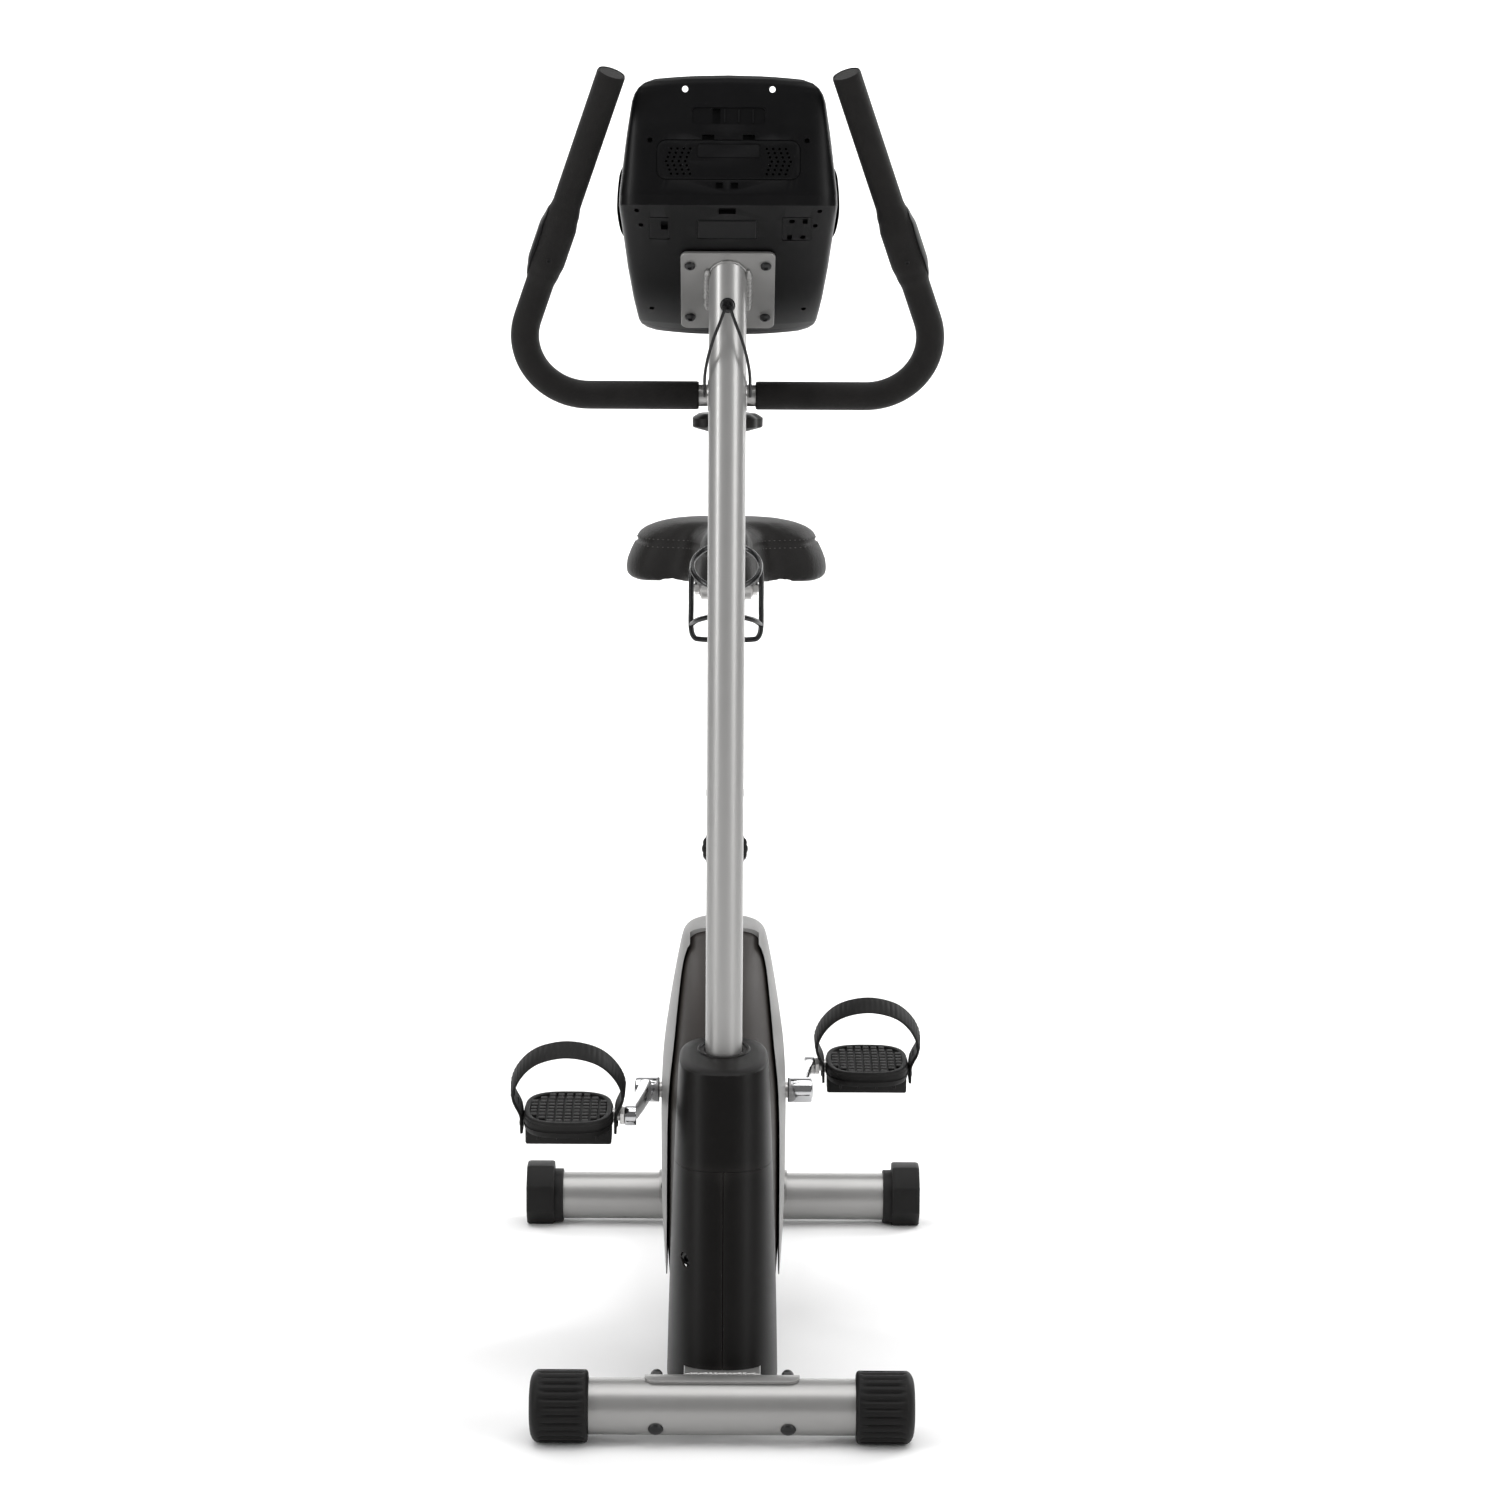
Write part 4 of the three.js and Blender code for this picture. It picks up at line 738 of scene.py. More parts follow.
def add_rollers():
    """Transport rollers: rounded ribs all round, a plain domed outer end with a cap."""
    ribs = 26

    def ribbed(angle, radius, z):
        if radius < ROLLER_RADIUS - 0.0021 or not 0.004 < z < 0.0485:
            return radius
        fade = min(1.0, (z - 0.004) / 0.003, (0.0485 - z) / 0.004)
        return radius - 0.0021 * fade * abs(math.sin(angle * ribs / 2)) ** 6

    radius = ROLLER_RADIUS
    profile = [(0, 0.0066), (0, radius - 0.003), (0.0008, radius - 0.0011), (0.0025, radius)]
    profile += [(0.004 + 0.0445 * i / 12, radius) for i in range(13)]
    profile += [(0.0505, radius), (0.0530, radius - 0.0012), (0.0552, radius - 0.0036),
                (0.0570, radius - 0.0072), (0.0580, radius - 0.0115), (0.0585, 0.0200),
                (0.0585, 0.0175), (0.0578, 0.0170), (0.0578, 0.0150), (0.0583, 0.0146),
                (0.0583, 0.0002)]
    for name, sign in SIDES.items():
        inner = sign * (FRONT_HALF - ROLLER_WIDTH)
        part = placed(turned(profile, 26 * 8, ribbed), across(
            inner, FRONT_Y, ROLLER_RADIUS, sign))
        new_piece(f"transport_roller_{name}", *part, RUBBER, f"front_roller_{name}",
                  "moulded_rubber", [f"front_roller_{name}"], 50)


def add_levelers():
    """Eight-sided feet, off centre on the rear tube, each with a round neck and a cap."""
    flat = ROLLER_RADIUS
    width, neck = 0.033, 0.011

    def octagon(scale):
        points = []
        for i in range(8):
            a = math.pi / 8 + i * math.pi / 4
            for j in (-1, 0, 1):
                turn = a + j * 0.045
                reach = scale * flat / math.cos(math.pi / 8 - abs(j) * 0.045)
                reach *= 1 - 0.012 * (1 - abs(j))
                points.append(Vector((reach * math.cos(turn), reach * math.sin(turn), 0)))
        return points

    levels = [(0, 0.965), (0.0012, 0.99), (0.0030, 1.0), (width - 0.004, 1.0),
              (width - 0.0015, 0.985), (width, 0.95), (width, 0.80), (width - 0.0016, 0.78),
              (width - 0.0016, 0.42), (width - 0.0005, 0.40), (width - 0.0005, 0.02)]
    for name, sign in SIDES.items():
        start = sign * (REAR_HALF - width)
        body = skin([[p + Vector((0, 0, z)) for p in octagon(s)] for z, s in levels])
        foot = placed(body, across(start, REAR_Y, ROLLER_RADIUS, sign))
        collar = [(0, 0.0285), (0, 0.0312), (0.001, 0.0322), (neck - 0.001, 0.0322),
                  (neck + 0.001, 0.0322), (neck + 0.001, 0.0285)]
        sleeve = placed(turned(collar, 64, closed=True), across(
            sign * (REAR_HALF - width - neck), REAR_Y, REAR_TUBE_Z, sign))
        new_piece(f"leveling_foot_{name}", *joined(foot, sleeve), RUBBER,
                  f"rear_leveler_{name}", "moulded_rubber", [f"rear_leveler_{name}"], 30)


# ------------------------------------------------------------------ shroud and covers

# Level sections in mm: height, front and rear behind the front axis, half width.
HOUSING_SECTIONS = [
    (42, 161, 442, 53), (110, 140, 512, 58.5), (170, 142, 542, 62), (230, 148, 556, 63),
    (280, 162, 560, 63.3), (325, 188, 553, 61.2), (366, 222, 535, 55.8), (400, 260, 512, 50.2),
    (425, 298, 488, 45.5), (440, 330, 468, 41), (447, 345, 455, 36), (450, 358, 446, 30)]
NOSE_SECTIONS = [
    (36, 35.5, 241.3, 57), (110, 49, 238, 55.4), (180, 63, 234, 53.4), (256, 80, 226, 50.6),
    (310, 90.5, 216, 48), (347, 97.2, 208.8, 46),
    (352, 98.6, 207.4, 44.8), (354, 101.5, 204.5, 42.5)]
COVER_SEAM = 256
COVER_TILT = 0.15
CRANK_Y, CRANK_Z = behind(340), 0.282
SHELL_WALL = 3.0
SPAN_ROWS = 5
CRANK_HOLE, SEAT_HOLE = 0.017, 0.0201
RAIL_HOLE_HALF, RAIL_HOLE_TOP = 0.0388, 0.0748
SHROUD_GAP, PANEL_GAP = 0.0003, 0.00015
NOSE_SKIN = 0.0004
NOTCH_HALF, NOTCH_LOW, NOTCH_REAR = 0.037, 0.440, behind(366)
RIM_HEIGHT, RIM_FRONT = 354.6, 103
LIP_RING, BUSH_INNER, BUSH_OUTER = 25.7, 20.2, 25.2
SEAT_LEAN = math.radians(20)
SEAT_DIRECTION = Vector((0, math.sin(SEAT_LEAN), math.cos(SEAT_LEAN)))
SEAT_FRONT = Vector((0, -math.cos(SEAT_LEAN), math.sin(SEAT_LEAN)))


def seat_point(station, forward=0.0, side=0.0):
    """A place along the seat tube, in mm from the crank, and forward of its axis."""
    return (Vector((side * MM, CRANK_Y, CRANK_Z)) + SEAT_DIRECTION * station * MM
            + SEAT_FRONT * forward * MM)


def smooth_rows(rows, per_span):
    """Rows of numbers with a smooth run of new rows between them."""
    ends = [tuple(2 * a - b for a, b in zip(rows[0], rows[1])), *rows,
            tuple(2 * a - b for a, b in zip(rows[-1], rows[-2]))]
    result = []
    for i in range(len(rows) - 1):
        four = ends[i:i + 4]
        for k in range(per_span):
            t = k / per_span
            result.append(tuple(
                0.5 * (2 * b + (c - a) * t + (2 * a - 5 * b + 4 * c - d) * t * t
                       + (3 * b - a - 3 * c + d) * t ** 3) for a, b, c, d in zip(*four)))
    result.append(rows[-1])
    return result


def oval(z, front, rear, half, power, tilt=0.0, count=112):
    """A level rounded oval, in metres, from figures in mm behind the front axis."""
    ring = []
    for u, v in squared_circle(count, power):
        along = (front + rear) / 2 + (rear - front) / 2 * v
        ring.append(Vector((half * u * MM, behind(along), (z + tilt * (along - front)) * MM)))
    return ring


def hull(sections, offset, power, drop=0.0, tilt=0.0, tilt_from=99):
    """A closed loft over smoothed sections, grown by an offset, with a softly domed top."""
    last = len(sections) - 1
    rows = []
    for i, (z, front, rear, half) in enumerate(sections):
        lifted = z - drop if i == 0 else z + (offset if i > last - 3 else 0)
        lean = tilt if i >= tilt_from else 0.0
        rows.append((lifted, front - offset, rear + offset, half + offset, lean))
    rows = smooth_rows(rows, SPAN_ROWS)
    rings = [oval(z, front, rear, half, power, lean) for z, front, rear, half, lean in rows]
    top = rings[-1]
    middle = sum(top, Vector()) / len(top)
    for share, rise in ((0.82, 0.5), (0.55, 0.9), (0.2, 1.0)):
        rings.append([middle.lerp(p, share) + Vector((0, 0, rise * MM)) for p in top])
    return skin(rings)


def housing(offset, drop=0.0):
    return hull(HOUSING_SECTIONS, offset, 2.4, drop)


def nose(offset, drop=0.0):
    return hull(NOSE_SECTIONS, offset, 2.65, drop, COVER_TILT, 4)


def shroud_openings():
    """What passes through the shroud: the crank, the seat tube and the rail."""
    crank = placed(turned([(-0.2, CRANK_HOLE), (0.2, CRANK_HOLE)], 64),
                   across(0, CRANK_Y, CRANK_Z))
    seat = placed(turned([(0.100, SEAT_HOLE), (0.322, SEAT_HOLE)], 64),
                  aim(seat_point(0), SEAT_DIRECTION))
    rail = block((-RAIL_HOLE_HALF, NOSE_STEP_Y - 0.001, 0),
                 (RAIL_HOLE_HALF, 0.6, RAIL_HOLE_TOP), 0)
    rail_end = block((-RAIL_HOLE_HALF, -0.6, 0),
                     (RAIL_HOLE_HALF, NOSE_STEP_Y, NOSE_STEP_Z + 0.0004), 0)
    return [crank, seat, rail, rail_end]


INLET = Vector((-0.038, behind(77.5), 0.166))
INLET_DIRECTION = Vector((0.5, 1, 0)).normalized()


def side_prism(outline, low, high, ease=0.0, origin=(0, 0, 0)):
    """An outline in Y and Z round an origin, given a thickness along X."""
    turn = Matrix(((0, 0, 1, 0), (1, 0, 0, 0), (0, 1, 0, 0), (0, 0, 0, 1)))
    return placed(prism(outline, low, high, ease), Matrix.Translation(origin) @ turn)


def front_prism(outline, low, high):
    """An outline in X and Z given a run along Y, from high to low."""
    turn = Matrix(((1, 0, 0, 0), (0, 0, -1, 0), (0, 1, 0, 0), (0, 0, 0, 1)))
    return placed(prism(outline, -high, -low), turn)


def slab(x_low, x_high, z_low, z_high):
    """A sharp block that reaches past the bike in front and behind."""
    return block((x_low, -0.6, z_low), (x_high, 0.6, z_high), 0)


def other_side(sign, gap):
    """All that lies past the middle plane from one side, and a gap more."""
    return slab(*sorted((-sign * 0.3, sign * gap)), -0.1, 1)


def add_shroud():
    above = slab(-0.3, 0.3, COVER_SEAM * MM, 1)
    lower_nose = carve(nose(0), "DIFFERENCE", above)
    nose_surface = bvhtree.BVHTree.FromPolygons(*lower_nose)
    outside = carve(housing(0), "UNION", lower_nose)
    hollow = carve(housing(-SHELL_WALL, 20), "UNION", nose(-SHELL_WALL, 20))
    shell = carve(outside, "DIFFERENCE", hollow, *shroud_openings())
    inlet_hole = placed(prism(rounded_rect(0.0165, 0.0095, 0.0047), -0.006, 0.040), aim(
        INLET, INLET_DIRECTION, -INLET_DIRECTION.xy.angle_signed(Vector((0, 1)))))
    for name, sign in SIDES.items():
        half = carve(shell, "DIFFERENCE", other_side(sign, SHROUD_GAP))
        if sign < 0:
            half = carve(half, "DIFFERENCE", inlet_hole)
        piece = new_piece(f"housing_{name}", *half, SHROUD, "frame", "shroud_plastic",
                          [f"shroud_{name}"], 34)
        piece.data.materials.append(PANEL_FACE)
        for polygon in piece.data.polygons:
            if nose_surface.find_nearest(polygon.center)[3] > NOSE_SKIN:
                polygon.material_index = 1
    add_mast_cover()
    add_side_panels()
    add_inlet()


def rim_circle(radius, sides=80):
    """A circle round the mast, of a radius in mm, that lies on the cover's tilted rim."""
    return [Vector((x * MM, behind(y), (RIM_HEIGHT + COVER_TILT * (y - RIM_FRONT)) * MM))
            for x, y in circle(radius, sides, 0, MAST_BEHIND)]


def add_mast_cover():
    below = slab(-0.3, 0.3, -0.1, (COVER_SEAM + 0.4) * MM)
    opening = placed(turned([(0.25, 0.0250), (0.6, 0.0250)], 80), Matrix.Translation(
        (0, MAST_Y, 0)))
    cover = carve(
        nose(0), "DIFFERENCE", nose(-SHELL_WALL, 20), housing(0.5), below, opening)
    lip = rim_circle(LIP_RING)
    ring = wire_ring([*lip, lip[0]], 0.0019, 12)
    inner, outer = rim_circle(BUSH_INNER), rim_circle(BUSH_OUTER)
    drop = Vector((0, 0, 0.006))
    bush = skin([outer, inner, [p - drop for p in inner], [p - drop for p in outer]],
                closed=True)
    new_piece("column_cover", *joined(cover, ring, bush), SHROUD, "frame", "shroud_plastic",
              ["mast_cover"], 34)


def add_side_panels():
    """The silver covers over the cheeks, with the dark face left open between them."""
    side = smooth_path([(behind(y), z * MM, 0) for y, z in (
        (215, 470), (205, 330), (196, 250), (215, 160), (270, 100), (350, 84), (440, 100),
        (520, 170), (572, 260), (572, 360), (520, 470))], 90)
    cheek = side_prism([(p.x, p.y) for p in side], -0.3, 0.3)
    left = smooth_path([(x, z, 0) for x, z in (
        (-60, 40), (-59.5, 160), (-58.5, 285), (-52.5, 352), (-47.5, 400), (-43.5, 425),
        (-37.5, 440), (-28, 446.8), (-14, 449.2), (0, 449.6))], 70)
    left = [(p.x, p.y) for p in left]
    window = front_prism(
        [(x * MM, z * MM) for x, z in reversed([*left, *[(-x, z) for x, z in left[-2::-1]]])],
        -0.6, 0.6)
    covered = carve(housing(3.8), "DIFFERENCE", housing(0.5, 20))
    covered = carve(covered, "INTERSECT", cheek)
    top_notch = block((-NOTCH_HALF, -0.6, NOTCH_LOW), (NOTCH_HALF, NOTCH_REAR, 0.6), 0)
    covered = carve(covered, "DIFFERENCE", window, top_notch, *shroud_openings())
    for name, sign in SIDES.items():
        half = carve(covered, "DIFFERENCE", other_side(sign, PANEL_GAP))
        new_piece(f"cheek_cover_{name}", *half, SILVER_PLASTIC, "frame", "silver_paint",
                  [f"side_panel_{name}"], 34)


def add_inlet():
    """The power socket, a sleeve with a contact pin sunk in the nose."""
    loop = [(0.0036, 0.0062), (0.0180, 0.0062), (0.0180, 0.0010), (0.0090, 0.0010),
            (0.0085, 0.0034), (0.0036, 0.0036)]
    socket = placed(turned(loop, 40, closed=True), aim(INLET, INLET_DIRECTION))
    new_piece("power_socket", *socket, GLOSS, "frame", "black_gloss_plastic",
              ["power_inlet"], 30)


# ------------------------------------------------------------------ cranks and pedals

CRANK_LENGTH = 0.170
PEDAL_LEAN = math.radians(8)
CRANK_ANGLES = {"left": math.radians(-3.8), "right": math.radians(176.2)}
PEDAL_X, PEDAL_HALF, PEDAL_DEPTH = 0.160, 0.0465, 0.048


def crank_place(name):
    """The frame of one crank: its own Y runs along the arm and its own X outward."""
    return (Matrix.Translation((0, CRANK_Y, CRANK_Z))
            @ Matrix.Rotation(CRANK_ANGLES[name], 4, "X")
            @ Matrix.Diagonal((SIDES[name], 1, 1, 1)))


def pedal_place(name):
    """The frame of one pedal: leaning a little forward, with its own X outward."""
    spindle = crank_place(name) @ Vector((0, CRANK_LENGTH, 0))
    return (Matrix.Translation(spindle) @ Matrix.Diagonal((SIDES[name], 1, 1, 1))
            @ Matrix.Rotation(PEDAL_LEAN, 4, "X"))


def crank_arm():
    rows = [(-0.002, 0.0835, 0.0072, 0.0122), (0.012, 0.0845, 0.0072, 0.0118),
            (0.045, 0.0862, 0.0066, 0.0108), (0.095, 0.0898, 0.0062, 0.0096),
            (0.140, 0.0938, 0.0060, 0.0089), (0.160, 0.0955, 0.0059, 0.0088),
            (0.171, 0.0960, 0.0058, 0.0086)]
    rings = []
    for y, x, deep, tall in smooth_rows(rows, 6):
        rings.append([Vector((x + deep * u, y, tall * v))
                      for u, v in squared_circle(32, 4, -1)])
    web = skin(rings)
    boss = placed(turned([
        (0.069, 0.0125), (0.0696, 0.0132), (0.0705, 0.0135), (0.0925, 0.0135), (0.0942, 0.0131),
        (0.095, 0.0121), (0.095, 0.0098), (0.0938, 0.0094), (0.0938, 0.0003)], 56),
        across(0, 0, 0))
    eye = placed(turned([
        (0.090, 0.0095), (0.0905, 0.0102), (0.0913, 0.0105), (0.1007, 0.0105),
        (0.1015, 0.0102), (0.102, 0.0095), (0.102, 0.0075), (0.102, 0.0001)], 48),
        across(0, CRANK_LENGTH, 0))
    return joined(web, boss, eye)


def pedal_outline(inset):
    """The pedal from above, shrunk by an inset."""
    return [(PEDAL_X + (PEDAL_HALF - inset) * u, (PEDAL_DEPTH - inset) * v)
            for u, v in squared_circle(72, 3)]


def level_skin(levels, closed=False):
    """Rings of the pedal's outline at (height, inset) pairs."""
    return skin([[Vector((*p, z)) for p in pedal_outline(inset)] for z, inset in levels],
                closed=closed)


def pedal_body():
    """An oval platform with a rim, rows of tread blocks, and a weight below."""
    platform = level_skin([
        (-0.0080, 0.0035), (-0.0074, 0.0016), (-0.0060, 0.0008), (-0.0015, 0.0000),
        (-0.0012, 0.0009), (0.0010, 0.0009), (0.0013, 0.0000), (0.0050, 0.0004),
        (0.0058, 0.0012), (0.0060, 0.0022)])
    rim = level_skin([
        (0.0055, 0.0010), (0.0080, 0.0014), (0.0087, 0.0020), (0.0090, 0.0030),
        (0.0090, 0.0058), (0.0086, 0.0066), (0.0055, 0.0072)], closed=True)
    blocks = []
    for row in range(-4, 5):
        for column in range(-4, 5):
            x, y = column * 0.0089, row * 0.0092
            if abs(x / 0.037) ** 3 + abs(y / 0.0385) ** 3 > 1:
                continue
            blocks.append(block(
                (PEDAL_X + x - 0.0033, y - 0.0036, 0.0056),
                (PEDAL_X + x + 0.0033, y + 0.0036, 0.0088), 0.0007))
    weight = block((PEDAL_X - PEDAL_HALF + 0.002, -0.015, -0.027),
                   (PEDAL_X + PEDAL_HALF - 0.002, 0.015, -0.0075), 0.0022)
    rib_blocks = [
        block((PEDAL_X + x - 0.0012, -0.0385, -0.0125), (PEDAL_X + x + 0.0012, 0.0385, -0.0074),
              0.0005) for x in (-0.030, -0.010, 0.010, 0.030)]
    return joined(platform, rim, weight, *blocks, *rib_blocks)


def spindle():
    shaft = turned([
        (0.0905, 0.0068), (0.1045, 0.0068), (0.1046, 0.0054), (0.110, 0.0054),
        (0.112, 0.0075), (0.1145, 0.0075), (0.1146, 0.0055), (0.200, 0.0055)], 40)
    nut = prism(circle(0.0098, 6), 0.1023, 0.1070, 0.0005)
    return placed(joined(shaft, nut), across(0, 0, 0))


STRAP_LEAN = math.radians(20)


def strap_path():
    foot = PEDAL_HALF + 0.0018
    arch = [(-foot, -0.014), (-foot - 0.001, 0.008), (-0.057, 0.034), (-0.049, 0.060),
            (-0.030, 0.080), (0, 0.088), (0.030, 0.080), (0.049, 0.060), (0.057, 0.034),
            (foot + 0.001, 0.008), (foot, -0.014)]
    return smooth_path([
        (PEDAL_X + x, -math.sin(STRAP_LEAN) * max(up, 0),
         up * math.cos(STRAP_LEAN) if up > 0 else up) for x, up in arch], 190)


def strap():
    """A ribbed rubber strap in one arch over the foot, with a row of adjusting holes."""
    path = strap_path()
    half_width, thickness = 0.0135, 0.0015

    def section(share):
        ribbed = 0.18 < share < 0.82
        rib = 0.0007 * abs(math.sin(math.pi * share * 46)) if ribbed else 0.0
        narrow = half_width * (1 - 0.08 * math.sin(math.pi * share))
        outer = thickness + rib
        edge = 0.0012
        return [(-thickness + edge, -narrow), (thickness - edge * 0.3, -narrow),
                (outer, -narrow + edge * 1.6), (outer, 0), (outer, narrow - edge * 1.6),
                (thickness - edge * 0.3, narrow), (-thickness + edge, narrow),
                (-thickness, narrow - edge), (-thickness, 0), (-thickness, -narrow + edge)]

    up = Vector((0, math.cos(STRAP_LEAN), math.sin(STRAP_LEAN)))
    band = swept(path, section, up)
    stations = frames_along(path, up)
    slots = []
    for index in (150, 158, 166):
        point, side, rise = stations[index]
        turn = Matrix((
            (*stations[index + 1][0] - stations[index - 1][0],), (*rise,), (*side,)))
        turn = Matrix([row.normalized() for row in turn]).transposed().to_4x4()
        slots.append(placed(
            prism(rounded_rect(0.0034, 0.0110, 0.0016), -0.004, 0.004),
            Matrix.Translation(point) @ turn))
    band = carve(band, "DIFFERENCE", *slots)
    buttons = []
    for sign in (-1, 1):
        buttons.append(placed(turned([
            (-0.001, 0.0048), (0.0012, 0.0048), (0.0022, 0.0036), (0.0025, 0.0012)], 28), aim(
                (PEDAL_X + sign * (PEDAL_HALF + 0.0022), 0, -0.008), (sign, 0, 0))))
    return joined(band, *buttons)


def add_cranks():
    for name in SIDES:
        crank, pedal = crank_place(name), pedal_place(name)
        new_piece(f"crank_{name}", *placed(crank_arm(), crank), CHROME, "crank",
                  "chrome_steel", [f"crank_arm_{name}"], 32)
        cap = placed(turned([
            (0.0936, 0.0094), (0.0952, 0.0092), (0.0958, 0.0080), (0.0960, 0.0010)], 40),
            across(0, 0, 0))
        new_piece(f"crank_cap_{name}", *placed(cap, crank), GLOSS, "crank",
                  "black_gloss_plastic", (), 32)
        new_piece(f"pedal_body_{name}", *placed(pedal_body(), pedal), RUBBER,
                  f"pedal_{name}", "moulded_rubber", [f"pedal_{name}"], 32)
        new_piece(f"spindle_{name}", *placed(spindle(), pedal), ZINC, "crank",
                  "zinc_steel", [f"pedal_spindle_{name}"], 32)
        new_piece(f"foot_strap_{name}", *placed(strap(), pedal), RUBBER,
                  f"pedal_{name}", "moulded_rubber", [f"pedal_strap_{name}"], 32)


# ------------------------------------------------------------------ mast

PLATE_Y, PLATE_Z = behind(187), 1.1425
PLATE_LEAN = math.radians(50)
PLATE_WIDTH, PLATE_HEIGHT = 0.0945, 0.120
SCREW_X, SCREW_Y = 0.038, 0.041
PLATE_FRAME = (Matrix.Translation((0, PLATE_Y, PLATE_Z))
               @ Matrix.Rotation(math.radians(90) + PLATE_LEAN, 4, "X"))


def plate_height(x, y):
    """The height at which a vertical line at x and y meets the face of the mounting plate."""
    normal = PLATE_FRAME.to_3x3() @ Vector((0, 0, 1))
    start = PLATE_FRAME @ Vector((0, 0, 0.0033))
    return start.z - (normal.x * (x - start.x) + normal.y * (y - start.y)) / normal.z


def add_mast():
    plate = placed(prism(rounded_rect(PLATE_WIDTH, PLATE_HEIGHT, 0.007), 0.0003, 0.0033,
                         0.0005), PLATE_FRAME)
    rings = []
    for radius, low in ((MAST_RADIUS, 0.1), (MAST_RADIUS, None), (0.017, None), (0.017, 0.1)):
        ring = []
        for i in range(72):
            a = 2 * math.pi * i / 72
            x, y = radius * math.cos(a), MAST_Y + radius * math.sin(a)
            ring.append(Vector((x, y, low if low else plate_height(x, y) + 0.0002)))
        rings.append(ring)
    tube = skin(rings, closed=True)
    seam = []
    for i in range(49):
        a = 2 * math.pi * i / 48
        x = (MAST_RADIUS + 0.0008) * math.cos(a)
        y = MAST_Y + (MAST_RADIUS + 0.0008) * math.sin(a)
        seam.append(Vector((x, y, plate_height(x, y) - 0.0012)))
    sides = []
    for sign in (-1, 1):
        sides.append([
            Vector((sign * (MAST_RADIUS + 0.0016), MAST_Y + y,
                    plate_height(MAST_RADIUS, MAST_Y + y) - 0.0016))
            for y in (0.0040 * i - 0.010 for i in range(13))])
    beads = [weld(seam, 0.0013, 41, 0.0055)]
    beads += [weld(path, 0.0040, 42 + i, 0.0062) for i, path in enumerate(sides)]
    head = turned([
        (0.0034, 0.0054), (0.0042, 0.0056), (0.0058, 0.0051), (0.0068, 0.0037),
        (0.0071, 0.0022), (0.0060, 0.0020), (0.0060, 0.0002)], 28)
    screw = joined(head, turned([(-0.012, 0.0026), (0.0036, 0.0026)], 16))
    screws = [placed(screw, PLATE_FRAME @ Matrix.Translation((x, y, 0)))
              for x in (-SCREW_X, SCREW_X) for y in (-SCREW_Y, SCREW_Y)]
    new_piece("column", *joined(plate, tube, *beads), SILVER, "frame", "silver_paint",
              ["mast"], 32)
    new_piece("plate_screws", *joined(*screws), BLACK_PAINT, "frame", "black_paint", (), 32)
    grommet = turned([
        (-0.0016, 0.0030), (-0.0010, 0.0070), (0.0004, 0.0076), (0.0016, 0.0072),
        (0.0026, 0.0056), (0.0028, 0.0038), (0.0018, 0.0031)], 36)
    new_piece("grommet", *placed(grommet, aim(
        (0, MAST_Y - MAST_RADIUS, 1.127), (0, -1, 0))), GLOSS, "frame",
        "black_gloss_plastic", (), 40)


# ------------------------------------------------------------------ console

# Level sections in mm: height, back, display face and half width.
CONSOLE_SECTIONS = [
    (1088, 262, 283, 74), (1090.5, 257, 282.6, 83), (1095, 248.6, 281.5, 88.5),
    (1101, 238, 280, 91), (1165, 161.7, 243.5, 101),
    (1226, 89, 208.8, 108), (1238, 88, 202, 107.5), (1300, 99, 166.6, 100),
    (1335, 106, 146.7, 95.5), (1344, 107.8, 141.6, 93), (1351, 109.3, 137.6, 89),
    (1356, 111, 134.2, 83), (1359, 114, 131, 73)]
CONSOLE_ARCH = 10
DISPLAY_FRAME = (Matrix.Translation((0, behind(210.2), 1.2235))
                 @ Matrix.Rotation(math.radians(-60.3), 4, "X"))
DISPLAY_DEPTH = 0.024
WINDOW_HALF, WINDOW_TOP, WINDOW_LOW = 0.062, -0.088, 0.012
KEY_Y, KEY_PITCH, KEY_HALF, KEY_DEEP = 0.044, 0.034, 0.011, 0.008
LOWER_BACK = ((1101, 238), (1226, 89))
UPPER_BACK = ((1238, 88), (1340, 107))


def console_body(offset):
    """The console's skin, grown by an offset in mm."""
    rows = []
    last = len(CONSOLE_SECTIONS) - 1
    for i, (z, back, face, half) in enumerate(CONSOLE_SECTIONS):
        z += {0: -offset, last: offset}.get(i, 0)
        rows.append((z, back - 1.2 * offset, face + 1.2 * offset, half + offset))
    fine = []
    for a, b in zip(rows, rows[1:]):
        fine += [tuple(p + (q - p) * k / 4 for p, q in zip(a, b)) for k in range(4)]
    fine.append(rows[-1])
    verts, faces = skin([
        oval(z, back, face, half, 7, count=120) for z, back, face, half in fine])
    for point in verts:
        share = (point.x / (100 * MM)) ** 2
        over = min(1.0, max(0.0, (point.z / MM - 1290) / 69))
        under = min(1.0, max(0.0, (1130 - point.z / MM) / 42))
        point.z += (under * (6 + 0.8 * CONSOLE_ARCH * share)
                    - over * (6.5 + 0.7 * CONSOLE_ARCH * share)) * MM
    return verts, faces


def back_frame(run, share, x=0.0):
    """The frame of a place on one of the two back faces: its Z is outward, its Y up the face."""
    (z0, y0), (z1, y1) = run
    up = Vector((0, y1 - y0, z1 - z0)).normalized()
    across_x = Vector((1, 0, 0))
    out = across_x.cross(up)
    z, y = z0 + (z1 - z0) * share, y0 + (y1 - y0) * share
    turn = Matrix((across_x, up, out)).transposed().to_4x4()
    return Matrix.Translation((x * MM, behind(y), z * MM)) @ turn


def raised(run, share, x, width, height, low, high, radius=1.2, ease=0.4):
    """A rounded pad on a back face, between two levels above it."""
    outline = rounded_rect(width * MM, height * MM, radius * MM, 4)
    return placed(prism(outline, low * MM, high * MM, ease * MM), back_frame(run, share, x))


